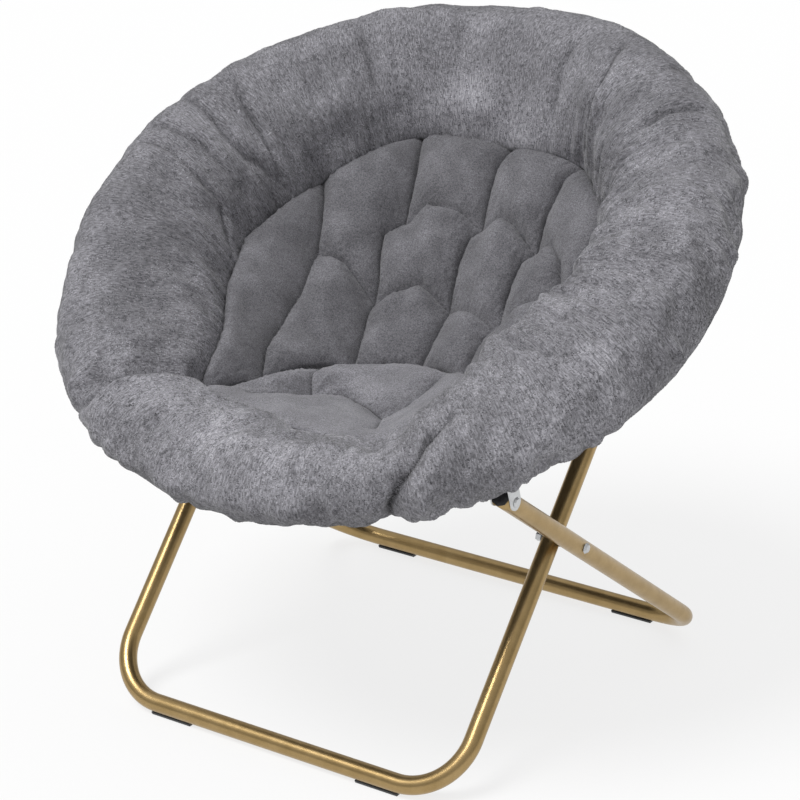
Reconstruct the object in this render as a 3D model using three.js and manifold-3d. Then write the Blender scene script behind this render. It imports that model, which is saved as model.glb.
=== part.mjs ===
// Folding saucer chair: a padded bowl on a ring that folds in half, carried by two crossed legs.
// Millimetres, +Z up, the chair faces -Y, and the origin is on the floor under its middle.
// The seat ring has a frame of its own: x across, y back along the ring, z up from its plane.
import * as THREE from "three";
import { mergeVertices } from "three/addons/utils/BufferGeometryUtils.js";
import Module from "manifold-3d";

const wasm = await Module();
wasm.setup();

// Clearance between pieces that touch, reach of the cutting tools, and welding of points
const gap = 0.3;
const overrun = 60;
const weld = 0.0001;

// Counts of facets and steps
const tubeSides = 12;
const bendSteps = 7;
const stripSteps = 4;
const ringSteps = 52;
const hoopSides = 8;
const turnedSides = 8;
const domeSteps = 2;
const seamCorners = 13;

// Leg tubes: the front legs are the inner U, the rear legs the outer one
const legRadius = 11;
const legWall = 1.2;
const footBendRadius = 71.7;
const frontLegHalfWidth = 241.7;
const legSpacing = 34;
const rearLegHalfWidth = frontLegHalfWidth + legSpacing;
const frontFootY = -249.9;
const rearFootY = 286.9;
const legOverhang = 12;

// Plug in the open end of a leg tube
const plugFlange = 1.5;
const plugDome = 1.6;
const plugShank = 6.5;

// Shoe under a foot bar
const glideLength = 56;
const glideBase = 2.7;
const glideHalfWidth = 5;
const glideWingThickness = 1.6;
const glideInset = 24;
const glideWingAngle = 32;

// Bolt where the legs cross
const crossShankRadius = 3.5;
const crossHeadRadius = 6.5;
const crossHeadHeight = 3.6;
const crossSpacerRadius = 6;
const crossNutRadius = 6;
const crossNutLength = 6.5;

// Seat ring: two tube hoops in one plane, tilted back
const ringCentreY = 19.2;
const ringCentreZ = 512;
const ringTilt = 27;
const hoopRadius = 375;
const hoopTubeRadius = 9.5;
const hoopWall = 1.2;
const hoopHeight = 12;

// Brackets under the hoops and the rivets that the legs turn on
const pivotDrop = 30;
const frontPivotLead = 5.1;
const earThickness = 2;
const earClearance = 0.4;
const earRadius = 9.5;
const webLength = 19.5;
const pivotShankRadius = 3.5;
const pivotHeadRadius = 6;
const pivotHeadHeight = 2.4;
const fixingShankRadius = 2;
const fixingHeadRadius = 4.5;
const fixingHeadHeight = 1.4;
const blindHeadRadius = 2.6;
const blindHeadHeight = 2.4;

// Hinges that join the two hoops
const hingeLineY = -115;
const hingeLapInset = 2.8;
const hingePlateThickness = 2.5;
const hingeLugRadius = 8;
const hingeRivetReach = 52;
const hingeEndSetback = 40;
const hingeShankRadius = 3;
const hingeHeadRadius = 6;
const hingeHeadHeight = 2.4;
const hingeShoulderRadius = 5.5;

// Cap in the open end of a hoop
const capFlange = 1.5;
const capShank = 7;
const capShankClearance = 1.1;

// Padded rim: a soft roll round the hoops
const rimInset = 44;
const rimCentreRadius = hoopRadius - rimInset;
const rimCentreHeight = 42;
const rimHalfWidth = 76;
const rimHalfHeight = 63.5;
const rimRoundness = 2.3;
const rimFlatInset = 30;
const rimFlatRadius = hoopRadius - rimFlatInset;
const gatherDepth = 7;
const gatherStart = 0.6;
const gatherMiddle = 0.5;
const gatherSpread = 0.6;
const hingePocketRadius = 18.5;
const hingePocketLength = 66;
const bracketPocketClearance = 2;
const platePocketClearance = 0.6;

// Padded bowl inside the rim
const seamInset = 5;
const padRadius = rimCentreRadius - rimHalfWidth - seamInset;
const padEdgeHeight = -31;
const padEdgeThickness = 12;
const padCrown = 16;
const bowlDepth = 100;
const bowlLowestY = -70;
const pillowHeight = 20;
const seatPillowHeight = 38;
const channelWidth = 34;
const tuftWidth = 26;
const tuftShare = 0.55;
const bowlPower = 1.5;

// Lining under the bowl
const liningThickness = 1.6;
const liningInset = 7;
const liningRadius = rimFlatRadius - liningInset;

// Channels sewn in the bowl, each a line of places in shares of the bowl's radius
const columnShares = [
  [[0, 1], [0.02, 0.58], [0.03, 0.17], [0.02, -0.14]],
  [[0.465, 0.885], [0.38, 0.55], [0.35, 0.12], [0.3, -0.15], [0.36, -0.51], [0.239, -0.971]],
  [[0.823, 0.568], [0.7, 0.21], [0.7, -0.12], [0.68, -0.28]],
];
const seatCreaseShares = [[0, -0.14], [0.3, -0.15], [0.68, -0.28], [0.94, -0.36]];
const seatRowShares = [[0.05, -0.54], [0.36, -0.51], [0.663, -0.749]];

// Rings of the bowl's top and bottom, in shares from its lowest point to its edge
const topRingShares = [
  0, 0.08, 0.17, 0.26, 0.35, 0.44, 0.53, 0.62, 0.7, 0.78, 0.85, 0.91, 0.96, 1,
];
const bottomRingShares = [0, 0.35, 0.6, 0.8, 0.92, 1];

const radians = THREE.MathUtils.degToRad;
const xAxis = new THREE.Vector3(1, 0, 0);
const yAxis = new THREE.Vector3(0, 1, 0);
const zAxis = new THREE.Vector3(0, 0, 1);

const gold = new THREE.MeshStandardMaterial({ color: 0xc9a76a, roughness: 0.32, metalness: 0.85 });
const zinc = new THREE.MeshStandardMaterial({ color: 0xb9bbbd, roughness: 0.35, metalness: 0.9 });
const plastic = new THREE.MeshStandardMaterial({ color: 0x1c1c1e, roughness: 0.55, metalness: 0 });
const plush = new THREE.MeshStandardMaterial({ color: 0xb4b4b8, roughness: 0.95, metalness: 0 });
const cloth = new THREE.MeshStandardMaterial({ color: 0x77777b, roughness: 0.9, metalness: 0 });

// A path that steps only at chosen stations, so straight runs take one step each
class StationPath extends THREE.Curve {
  constructor(stations) {
    super();
    this.stations = stations;
  }
  station(share) {
    return this.stations[Math.round(share * (this.stations.length - 1))];
  }
  getPointAt(share, target = new THREE.Vector3()) {
    return target.copy(this.station(share).point);
  }
  getTangentAt(share, target = new THREE.Vector3()) {
    return target.copy(this.station(share).tangent);
  }
}

function toSolid(geometry) {
  const bare = geometry.clone();
  bare.deleteAttribute("normal");
  bare.deleteAttribute("uv");
  const merged = mergeVertices(bare, weld);
  const corners = merged.index.array;
  const kept = [];
  for (let i = 0; i < corners.length; i += 3) {
    const [a, b, c] = corners.slice(i, i + 3);
    if (a !== b && b !== c && c !== a) kept.push(a, b, c);
  }
  return new wasm.Manifold(new wasm.Mesh({
    numProp: 3,
    vertProperties: new Float32Array(merged.attributes.position.array),
    triVerts: new Uint32Array(kept),
  }));
}

function toGeometry(solid) {
  const mesh = solid.getMesh();
  const geometry = new THREE.BufferGeometry();
  geometry.setAttribute("position", new THREE.BufferAttribute(mesh.vertProperties, 3));
  geometry.setIndex(new THREE.BufferAttribute(mesh.triVerts, 1));
  geometry.computeVertexNormals();
  return geometry;
}

function polygon(radius, sides, centreX = 0, centreY = 0) {
  return Array.from({ length: sides }, (_, i) => {
    const angle = (2 * Math.PI * i) / sides;
    return new THREE.Vector2(centreX + radius * Math.cos(angle), centreY + radius * Math.sin(angle));
  });
}

// A flat outline in the y-z plane, extruded along x
function slab(shape, fromX, toX, curveSegments = bendSteps) {
  const geometry = new THREE.ExtrudeGeometry(shape, {
    depth: toX - fromX, bevelEnabled: false, curveSegments,
  });
  geometry.applyMatrix4(new THREE.Matrix4().makeBasis(yAxis, zAxis, xAxis));
  return geometry.translate(fromX, 0, 0);
}

// A turned piece along x: points are [distance outward, radius], and side is -1 on the left
function turned(points, side) {
  const profile = points.map(([along, radius]) => new THREE.Vector2(radius, along));
  return new THREE.LatheGeometry(profile, turnedSides).rotateZ((-side * Math.PI) / 2);
}

// Points of a domed head that starts on its rim at `seat` and ends on the axis
function dome(seat, radius, height) {
  return Array.from({ length: domeSteps + 1 }, (_, i) => {
    const angle = (Math.PI / 2) * (i / domeSteps);
    const share = i === domeSteps ? 0 : Math.cos(angle);
    return [seat + height * Math.sin(angle), radius * share];
  });
}

// The same head the other way round, from the axis out to its rim
function domeBelow(seat, radius, height) {
  return dome(-seat, radius, height).map(([along, size]) => [-along, size]).reverse();
}

function drill(radius, fromX, toX, y, z) {
  const length = Math.abs(toX - fromX);
  const bit = new THREE.CylinderGeometry(radius, radius, length, turnedSides);
  return toSolid(bit.rotateZ(Math.PI / 2).translate((fromX + toX) / 2, y, z));
}

function block(low, high) {
  const size = high.map((value, i) => value - low[i]);
  const middle = high.map((value, i) => (value + low[i]) / 2);
  return toSolid(new THREE.BoxGeometry(...size).translate(...middle));
}

function addPiece(parent, name, geometry, material) {
  const mesh = new THREE.Mesh(geometry, material);
  mesh.name = name;
  parent.add(mesh);
  return mesh;
}

const sides = [["left", -1], ["right", 1]];
const chair = new THREE.Group();
const ring = new THREE.Group();
ring.position.set(0, ringCentreY, ringCentreZ);
ring.rotation.x = radians(ringTilt);
chair.add(ring);

// Where the legs turn on the ring, in the ring's frame and in the chair's
const frontBracketY = -Math.sqrt(hoopRadius ** 2 - rearLegHalfWidth ** 2);
const rearBracketY = Math.sqrt(hoopRadius ** 2 - frontLegHalfWidth ** 2);
const frontPivot = [frontBracketY - frontPivotLead, -pivotDrop];
const rearPivot = [rearBracketY, -pivotDrop];

function toChair([y, z]) {
  const point = new THREE.Vector3(0, y, z).applyAxisAngle(xAxis, radians(ringTilt));
  return { y: point.y + ringCentreY, z: point.z + ringCentreZ };
}

const footZ = glideBase + gap + legRadius;

function legLine(halfWidth, footY, pivot) {
  const run = pivot.y - footY;
  const rise = pivot.z - footZ;
  const length = Math.hypot(run, rise);
  return { halfWidth, footY, length, angle: Math.atan2(rise, run), run: run / length, rise: rise / length };
}

const frontLeg = legLine(frontLegHalfWidth, frontFootY, toChair(rearPivot));
const rearLeg = legLine(rearLegHalfWidth, rearFootY, toChair(frontPivot));
const crossing = frontLeg.run * rearLeg.rise - frontLeg.rise * rearLeg.run;
frontLeg.crossingAt = ((rearFootY - frontFootY) * rearLeg.rise) / crossing;
rearLeg.crossingAt = ((rearFootY - frontFootY) * frontLeg.rise) / crossing;

// A U of tube in the plane of a leg's group: x across, y up the leg from its foot bar
function legPath(leg) {
  const top = leg.length + legOverhang;
  const straight = leg.halfWidth - footBendRadius;
  const stations = [{ point: new THREE.Vector3(-leg.halfWidth, top, 0), tangent: yAxis.clone().negate() }];
  for (const [side, firstAngle] of [[-1, Math.PI], [1, 1.5 * Math.PI]]) {
    for (let step = 0; step <= bendSteps; step += 1) {
      const angle = firstAngle + (Math.PI / 2) * (step / bendSteps);
      stations.push({
        point: new THREE.Vector3(
          side * straight + footBendRadius * Math.cos(angle),
          footBendRadius * (1 + Math.sin(angle)),
          0,
        ),
        tangent: new THREE.Vector3(-Math.sin(angle), Math.cos(angle), 0),
      });
    }
  }
  stations.push({ point: new THREE.Vector3(leg.halfWidth, top, 0), tangent: yAxis.clone() });
  return stations;
}

function legFrame(leg) {
  const section = new THREE.Shape(polygon(legRadius, tubeSides));
  section.holes.push(new THREE.Path(polygon(legRadius - legWall, tubeSides)));
  const stations = legPath(leg);
  const tube = new THREE.ExtrudeGeometry(section, {
    steps: stations.length - 1, extrudePath: new StationPath(stations),
  });
  let solid = toSolid(tube);
  for (const [, side] of sides) {
    const inner = side * (leg.halfWidth - 2 * legRadius);
    const outer = side * (leg.halfWidth + 2 * legRadius);
    solid = solid.subtract(drill(pivotShankRadius + gap, inner, outer, leg.length, 0));
    solid = solid.subtract(drill(crossShankRadius + gap, inner, outer, leg.crossingAt, 0));
  }
  return toGeometry(solid);
}

function legPlug(leg, side) {
  const top = leg.length + legOverhang;
  const points = [
    [top - plugShank, 0],
    [top - plugShank, legRadius - legWall - 2 * gap],
    [top + gap, legRadius - legWall - 2 * gap],
    [top + gap, legRadius],
    ...dome(top + gap + plugFlange, legRadius, plugDome),
  ];
  const profile = points.map(([along, radius]) => new THREE.Vector2(radius, along));
  return new THREE.LatheGeometry(profile, turnedSides).translate(side * leg.halfWidth, 0, 0);
}

function glide(centreX) {
  const wing = radians(glideWingAngle);
  const inner = legRadius + gap;
  const outer = inner + glideWingThickness;
  const shape = new THREE.Shape();
  shape.moveTo(-glideHalfWidth, 0);
  shape.lineTo(glideHalfWidth, 0);
  shape.lineTo(outer * Math.sin(wing), footZ - outer * Math.cos(wing));
  for (let step = bendSteps; step >= 0; step -= 1) {
    const angle = wing * ((2 * step) / bendSteps - 1);
    shape.lineTo(inner * Math.sin(angle), footZ - inner * Math.cos(angle));
  }
  shape.lineTo(-outer * Math.sin(wing), footZ - outer * Math.cos(wing));
  shape.closePath();
  return slab(shape, centreX - glideLength / 2, centreX + glideLength / 2);
}

for (const [name, leg] of [["front", frontLeg], ["rear", rearLeg]]) {
  const group = new THREE.Group();
  group.position.set(0, leg.footY, footZ);
  group.rotation.x = leg.angle;
  chair.add(group);
  leg.group = group;
  addPiece(group, `${name}_leg_frame`, legFrame(leg), gold);
  for (const [sideName, side] of sides) {
    addPiece(group, `${name}_leg_plug_${sideName}`, legPlug(leg, side), plastic);
    const shoe = glide(side * (leg.halfWidth - footBendRadius - glideInset));
    addPiece(chair, `${name}_glide_${sideName}`, shoe, plastic).position.y = leg.footY;
  }
}

// The crossing bolt turns in the rear leg and its spacer, and is fixed in the front leg
function crossBolt() {
  const head = rearLegHalfWidth + legRadius + gap;
  return [
    [frontLegHalfWidth + legRadius + gap, 0],
    [frontLegHalfWidth + legRadius + gap, crossShankRadius],
    [head, crossShankRadius],
    [head, crossHeadRadius],
    ...dome(head + gap, crossHeadRadius, crossHeadHeight),
  ];
}

function crossSpacer(side) {
  const from = frontLegHalfWidth + legRadius + gap;
  const to = rearLegHalfWidth - legRadius - gap;
  return turned([
    [from, crossShankRadius + gap],
    [from, crossSpacerRadius],
    [to, crossSpacerRadius],
    [to, crossShankRadius + gap],
    [from, crossShankRadius + gap],
  ], side);
}

function crossNut(side) {
  const seat = frontLegHalfWidth - legRadius - gap;
  const stud = turned([
    [seat - crossNutLength / 2, 0],
    [seat - crossNutLength / 2, crossShankRadius],
    [frontLegHalfWidth + legRadius, crossShankRadius],
    [frontLegHalfWidth + legRadius, 0],
  ], side);
  const nut = new THREE.CylinderGeometry(crossNutRadius, crossNutRadius, crossNutLength, 6);
  nut.rotateZ(Math.PI / 2).translate(side * (seat - crossNutLength / 2), 0, 0);
  return toGeometry(toSolid(stud).add(toSolid(nut)));
}

for (const [sideName, side] of sides) {
  const bolt = addPiece(rearLeg.group, `cross_bolt_${sideName}`, turned(crossBolt(), side), zinc);
  const spacer = addPiece(rearLeg.group, `cross_spacer_${sideName}`, crossSpacer(side), plastic);
  const nut = addPiece(frontLeg.group, `cross_nut_${sideName}`, crossNut(side), zinc);
  bolt.position.y = rearLeg.crossingAt;
  spacer.position.y = rearLeg.crossingAt;
  nut.position.y = frontLeg.crossingAt;
}

// A full ring of round section about the hoops' centreline, in the ring's frame
function torus(tubeRadius) {
  const section = polygon(tubeRadius, hoopSides, hoopRadius, hoopHeight);
  section.push(section[0].clone());
  return toSolid(new THREE.LatheGeometry(section, ringSteps).rotateX(Math.PI / 2));
}

// A slice of pie about the ring's axis, from one angle to another, measured from +x
function sector(fromAngle, toAngle) {
  const reach = 2 * hoopRadius;
  const shape = new THREE.Shape();
  shape.moveTo(0, 0);
  for (let step = 0; step <= bendSteps; step += 1) {
    const angle = fromAngle + (toAngle - fromAngle) * (step / bendSteps);
    shape.lineTo(reach * Math.cos(angle), reach * Math.sin(angle));
  }
  shape.closePath();
  const depth = 4 * hingePocketRadius;
  const slice = new THREE.ExtrudeGeometry(shape, { depth, bevelEnabled: false });
  return toSolid(slice.translate(0, 0, hoopHeight - depth / 2));
}

function ringAngle(y) {
  return Math.asin(y / hoopRadius);
}

// The hoops' centreline runs in straight steps, a little inside its circle between them
function facetedRadius(angle) {
  const step = (2 * Math.PI) / ringSteps;
  const fromFront = angle + Math.PI / 2;
  const offset = fromFront - step * (Math.floor(fromFront / step) + 1 / 2);
  return (hoopRadius * Math.cos(step / 2)) / Math.cos(offset);
}

function hoopX(y) {
  return Math.sqrt(hoopRadius ** 2 - y ** 2);
}

const frontEndAngle = ringAngle(hingeLineY - hingeEndSetback);
const rearEndAngle = ringAngle(hingeLineY + hingeEndSetback);
const frontRivetY = hingeLineY - hingeRivetReach;
const rearRivetY = hingeLineY + hingeRivetReach;
const hoopSolid = torus(hoopTubeRadius);
const hoopChannel = torus(hoopTubeRadius + gap);

function hoop(fromAngle, toAngle, rivetY, bracketX, bracketY) {
  const tube = hoopSolid.subtract(torus(hoopTubeRadius - hoopWall));
  let solid = tube.intersect(sector(fromAngle, toAngle));
  const bit = new THREE.CylinderGeometry(
    fixingShankRadius + gap, fixingShankRadius + gap, hoopTubeRadius, turnedSides,
  ).rotateX(Math.PI / 2);
  for (const [, side] of sides) {
    const middle = side * hoopX(rivetY);
    solid = solid.subtract(
      drill(hingeShankRadius + gap, middle - overrun, middle + overrun, rivetY, hoopHeight),
    );
    const spot = bit.clone().translate(side * bracketX, bracketY, hoopHeight - hoopTubeRadius);
    solid = solid.subtract(toSolid(spot));
  }
  return toGeometry(solid);
}

addPiece(ring, "front_hoop", hoop(
  -Math.PI - frontEndAngle, frontEndAngle, frontRivetY, rearLegHalfWidth, frontBracketY,
), gold);
addPiece(ring, "rear_hoop", hoop(
  rearEndAngle, Math.PI - rearEndAngle, rearRivetY, frontLegHalfWidth, rearBracketY,
), gold);

// A cap's axis follows the tube, out of its open end
function hoopCap(angle, outward) {
  const points = [
    [-capShank, 0],
    [-capShank, hoopTubeRadius - hoopWall - capShankClearance],
    [gap, hoopTubeRadius - hoopWall - capShankClearance],
    [gap, hoopTubeRadius],
    [gap + capFlange, hoopTubeRadius - capFlange / 2],
    [gap + capFlange, 0],
  ];
  const profile = points.map(([along, radius]) => new THREE.Vector2(radius, along));
  const cap = new THREE.LatheGeometry(profile, turnedSides);
  const heading = new THREE.Vector3(-Math.sin(angle), Math.cos(angle), 0).multiplyScalar(outward);
  cap.applyQuaternion(new THREE.Quaternion().setFromUnitVectors(yAxis, heading));
  const reach = facetedRadius(angle);
  return cap.translate(reach * Math.cos(angle), reach * Math.sin(angle), hoopHeight);
}

for (const [sideName, side] of sides) {
  const frontAngle = side > 0 ? frontEndAngle : Math.PI - frontEndAngle;
  const rearAngle = side > 0 ? rearEndAngle : Math.PI - rearEndAngle;
  addPiece(ring, `front_hoop_cap_${sideName}`, hoopCap(frontAngle, side), plastic);
  addPiece(ring, `rear_hoop_cap_${sideName}`, hoopCap(rearAngle, -side), plastic);
}

// Hinge plates lap beside each other on the fold line and are riveted to their own hoops
const lapX = hoopX(hingeLineY) - hingeLapInset;
const plateSpans = {
  front: [lapX - gap / 2 - hingePlateThickness, lapX - gap / 2],
  rear: [lapX + gap / 2, lapX + gap / 2 + hingePlateThickness],
};

// A strip with round ends from one y to another, spanning two distances out from the middle
function strip(side, radius, [lowY, highY], [inner, outer]) {
  const shape = new THREE.Shape();
  shape.absarc(highY, hoopHeight, radius, -Math.PI / 2, Math.PI / 2, false);
  shape.absarc(lowY, hoopHeight, radius, Math.PI / 2, 1.5 * Math.PI, false);
  shape.closePath();
  const from = Math.min(side * inner, side * outer);
  return toSolid(slab(shape, from, from + outer - inner, stripSteps));
}

function hingePlate(side, rivetY, span) {
  const ends = [Math.min(hingeLineY, rivetY), Math.max(hingeLineY, rivetY)];
  let plate = strip(side, hingeLugRadius, ends, span);
  const from = -hoopRadius;
  const to = hoopRadius;
  for (const y of [hingeLineY, rivetY]) {
    plate = plate.subtract(drill(hingeShankRadius + gap, from, to, y, hoopHeight));
  }
  return toGeometry(plate);
}

function hingePin(side) {
  const inner = plateSpans.front[0] - gap;
  const outer = plateSpans.rear[1] + gap;
  return turned([
    ...domeBelow(inner, hingeHeadRadius, hingeHeadHeight),
    [inner, hingeShankRadius],
    [outer, hingeShankRadius],
    ...dome(outer, hingeHeadRadius, hingeHeadHeight),
  ], side).translate(0, hingeLineY, hoopHeight);
}

// A rivet through plate and tube: flush on the lap, with a shoulder and a head that fit the tube
function hingeRivet(side, rivetY, [inner, outer], awaySign) {
  const lapFace = awaySign > 0 ? inner : outer;
  const backFace = awaySign > 0 ? outer : inner;
  const tubeX = hoopX(rivetY);
  const slope = Math.cos(ringAngle(rivetY));
  const headSeat = tubeX + (awaySign * hoopTubeRadius) / slope;
  const headEnd = headSeat + awaySign * (hingeHeadHeight + hingeHeadRadius / 2);
  const rod = (radius, from, to) => drill(radius, side * from, side * to, rivetY, hoopHeight);
  const shoulder = rod(hingeShoulderRadius, backFace + awaySign * gap, tubeX);
  const head = rod(hingeHeadRadius, tubeX, headEnd);
  const fitted = shoulder.add(head).subtract(hoopChannel);
  return toGeometry(fitted.add(rod(hingeShankRadius, lapFace, headSeat + awaySign * hingeHeadHeight / 2)));
}

for (const [sideName, side] of sides) {
  const { front, rear } = plateSpans;
  addPiece(ring, `front_hinge_plate_${sideName}`, hingePlate(side, frontRivetY, front), zinc);
  addPiece(ring, `rear_hinge_plate_${sideName}`, hingePlate(side, rearRivetY, rear), zinc);
  addPiece(ring, `hinge_pin_${sideName}`, hingePin(side), zinc);
  addPiece(ring, `front_hinge_rivet_${sideName}`, hingeRivet(side, frontRivetY, front, -1), zinc);
  addPiece(ring, `rear_hinge_rivet_${sideName}`, hingeRivet(side, rearRivetY, rear, 1), zinc);
}

// Leg brackets: a web under the hoop and two ears that hold the leg between them
const earInner = legRadius + earClearance;
const earOuter = earInner + earThickness;
const webTop = hoopHeight - hoopTubeRadius - gap;
const webBottom = webTop - earThickness;

function bracket(centreX, hoopY, [pivotY, pivotZ]) {
  const front = hoopY - webLength / 2;
  const back = hoopY + webLength / 2;
  const ear = new THREE.Shape();
  ear.moveTo(back, webTop);
  ear.lineTo(front, webTop);
  ear.lineTo(pivotY - earRadius, pivotZ);
  ear.absarc(pivotY, pivotZ, earRadius, Math.PI, 2 * Math.PI, false);
  ear.closePath();
  let solid = block([-earOuter, front, webBottom], [earOuter, back, webTop]);
  solid = solid.add(toSolid(slab(ear, earInner, earOuter, bendSteps / 2)));
  solid = solid.add(toSolid(slab(ear, -earOuter, -earInner, bendSteps / 2)));
  solid = solid.subtract(drill(pivotShankRadius + gap, -overrun, overrun, pivotY, pivotZ));
  const bit = new THREE.CylinderGeometry(
    fixingShankRadius + gap, fixingShankRadius + gap, 2 * earThickness, turnedSides,
  ).rotateX(Math.PI / 2).translate(0, hoopY, (webTop + webBottom) / 2);
  return toGeometry(solid.subtract(toSolid(bit))).translate(centreX, 0, 0);
}

function pivotRivet(centreX, side, [pivotY, pivotZ]) {
  const seat = earOuter + gap;
  return turned([
    ...domeBelow(-seat, pivotHeadRadius, pivotHeadHeight),
    [-seat, pivotShankRadius],
    [seat, pivotShankRadius],
    ...dome(seat, pivotHeadRadius, pivotHeadHeight),
  ], side).translate(centreX, pivotY, pivotZ);
}

// A blind rivet from below, through the web into the hoop's hollow
function fixingRivet(centreX, hoopY) {
  const bore = (hoopTubeRadius - hoopWall) * Math.cos(Math.PI / hoopSides);
  const blindSeat = hoopHeight - Math.sqrt(bore ** 2 - blindHeadRadius ** 2) + gap;
  const points = [
    ...domeBelow(webBottom - gap, fixingHeadRadius, fixingHeadHeight),
    [webBottom - gap, fixingShankRadius],
    [blindSeat, fixingShankRadius],
    [blindSeat, blindHeadRadius],
    [blindSeat + blindHeadHeight, blindHeadRadius],
    [blindSeat + blindHeadHeight, 0],
  ];
  const profile = points.map(([along, radius]) => new THREE.Vector2(radius, along));
  return new THREE.LatheGeometry(profile, turnedSides).rotateX(Math.PI / 2).translate(centreX, hoopY, 0);
}

const bracketPlaces = [
  { name: "front", halfWidth: rearLegHalfWidth, hoopY: frontBracketY, pivot: frontPivot },
  { name: "rear", halfWidth: frontLegHalfWidth, hoopY: rearBracketY, pivot: rearPivot },
];
for (const { name, halfWidth, hoopY, pivot } of bracketPlaces) {
  for (const [sideName, side] of sides) {
    const x = side * halfWidth;
    addPiece(ring, `${name}_bracket_${sideName}`, bracket(x, hoopY, pivot), zinc);
    addPiece(ring, `${name}_pivot_rivet_${sideName}`, pivotRivet(x, side, pivot), zinc);
    addPiece(ring, `${name}_fixing_rivet_${sideName}`, fixingRivet(x, hoopY), zinc);
  }
}

// Splits a soft solid on the fold line into a front and a rear half
function halves(solid) {
  const far = 2 * hoopRadius;
  const cut = hingeLineY;
  const front = solid.intersect(block([-far, -far, -far], [far, cut - gap / 2, far]));
  const rear = solid.intersect(block([-far, cut + gap / 2, -far], [far, far, far]));
  return { front: toGeometry(front), rear: toGeometry(rear) };
}

// Outline of the rim's roll: outer side up, over the top, down to the seam and out underneath
function rimProfile() {
  const points = [];
  const power = 2 / rimRoundness;
  const round = (angle) => {
    const across = Math.cos(angle);
    const up = Math.sin(angle);
    return new THREE.Vector2(
      rimCentreRadius + rimHalfWidth * Math.sign(across) * Math.abs(across) ** power,
      rimCentreHeight + rimHalfHeight * Math.sign(up) * Math.abs(up) ** power,
    );
  };
  for (let degrees = -63; degrees < 25; degrees += 11) points.push(round(radians(degrees)));
  for (let degrees = 25; degrees <= 180; degrees += 22) points.push(round(radians(degrees)));
  points.push(new THREE.Vector2(padRadius + gap, padEdgeHeight));
  points.push(new THREE.Vector2(padRadius + gap, padEdgeHeight - padEdgeThickness));
  points.push(new THREE.Vector2(rimFlatRadius, rimCentreHeight - rimHalfHeight));
  points.push(points[0].clone());
  return points;
}

// Draws the roll in towards the seam at each of its corners, most on the inner face
function gatherRim(geometry) {
  const places = geometry.attributes.position;
  for (let i = 0; i < places.count; i += 1) {
    const x = places.getX(i);
    const y = places.getY(i);
    const z = places.getZ(i);
    const radius = Math.hypot(x, y);
    const across = (rimCentreRadius - radius) / rimHalfWidth;
    const up = (z - rimCentreHeight) / rimHalfHeight;
    const inwards = Math.max(0, Math.min(1, gatherMiddle + gatherSpread * across));
    const facing = inwards * Math.max(0, Math.min(1, up + gatherStart));
    const corner = Math.max(0, Math.cos(seamCorners * Math.atan2(x, y))) ** 2;
    const shrink = (gatherDepth * facing * corner) / Math.hypot(rimHalfWidth, rimHalfHeight);
    const outward = (radius + (rimCentreRadius - radius) * shrink) / radius;
    places.setXYZ(i, x * outward, y * outward, z + (rimCentreHeight - z) * shrink);
  }
  return geometry;
}

function rimSolid() {
  const roll = new THREE.LatheGeometry(rimProfile(), ringSteps).rotateX(Math.PI / 2);
  let solid = toSolid(gatherRim(roll)).subtract(hoopChannel);
  const pocket = torus(hingePocketRadius);
  const low = ringAngle(hingeLineY - hingePocketLength);
  const high = ringAngle(hingeLineY + hingePocketLength);
  solid = solid.subtract(pocket.intersect(sector(low, high)));
  solid = solid.subtract(pocket.intersect(sector(Math.PI - high, Math.PI - low)));
  const slotRadius = hingeLugRadius + platePocketClearance;
  for (const [, side] of sides) {
    for (const [ends, span] of [
      [[frontRivetY, hingeLineY], plateSpans.front],
      [[hingeLineY, rearRivetY], plateSpans.rear],
    ]) {
      const slot = strip(side, slotRadius, ends, span);
      solid = solid.subtract(slot.translate(side * gap, 0, 0)).subtract(slot.translate(-side * gap, 0, 0));
    }
  }
  const endReach = Math.hypot(legOverhang + gap + plugFlange + plugDome, legRadius);
  const halfY = endReach + bracketPocketClearance;
  const halfX = earOuter + gap + pivotHeadHeight + bracketPocketClearance;
  for (const { halfWidth, pivot } of bracketPlaces) {
    for (const [, side] of sides) {
      const x = side * halfWidth;
      solid = solid.subtract(block(
        [x - halfX, pivot[0] - halfY, -rimHalfHeight - overrun],
        [x + halfX, pivot[0] + halfY, hoopHeight],
      ));
    }
  }
  return solid;
}

// The bowl's own law: how deep it lies at a share of the way from its lowest point to its edge
function bowlDrop(share) {
  return bowlDepth * (1 - share ** 2) ** bowlPower;
}

function lineDistance(x, y, line) {
  let least = Infinity;
  for (let i = 1; i < line.length; i += 1) {
    const [fromX, fromY] = line[i - 1];
    const [toX, toY] = line[i];
    const run = [toX - fromX, toY - fromY];
    const along = ((x - fromX) * run[0] + (y - fromY) * run[1]) / (run[0] ** 2 + run[1] ** 2);
    const held = Math.max(0, Math.min(1, along));
    least = Math.min(least, Math.hypot(x - fromX - held * run[0], y - fromY - held * run[1]));
  }
  return least;
}

// Pillows stand up between the sewn channels and are drawn down again at each tuft
function pillow(x, y) {
  const across = Math.abs(x) / padRadius;
  const back = y / padRadius;
  const lines = [...columnShares, seatCreaseShares, seatRowShares];
  const channel = Math.min(...lines.map((line) => lineDistance(across, back, line))) * padRadius;
  const edge = padRadius - Math.hypot(x, y);
  const nearest = Math.max(0, Math.min(channel, edge));
  const tufts = columnShares.flat().map(([tx, ty]) => Math.hypot(across - tx, back - ty));
  const tuft = Math.min(...tufts) * padRadius;
  const rise = 1 - Math.exp(-((nearest / channelWidth) ** 2));
  const dent = 1 - tuftShare * Math.exp(-((tuft / tuftWidth) ** 2));
  const onSeat = lineSide(across, back);
  return (pillowHeight + (seatPillowHeight - pillowHeight) * onSeat) * rise * dent;
}

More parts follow.
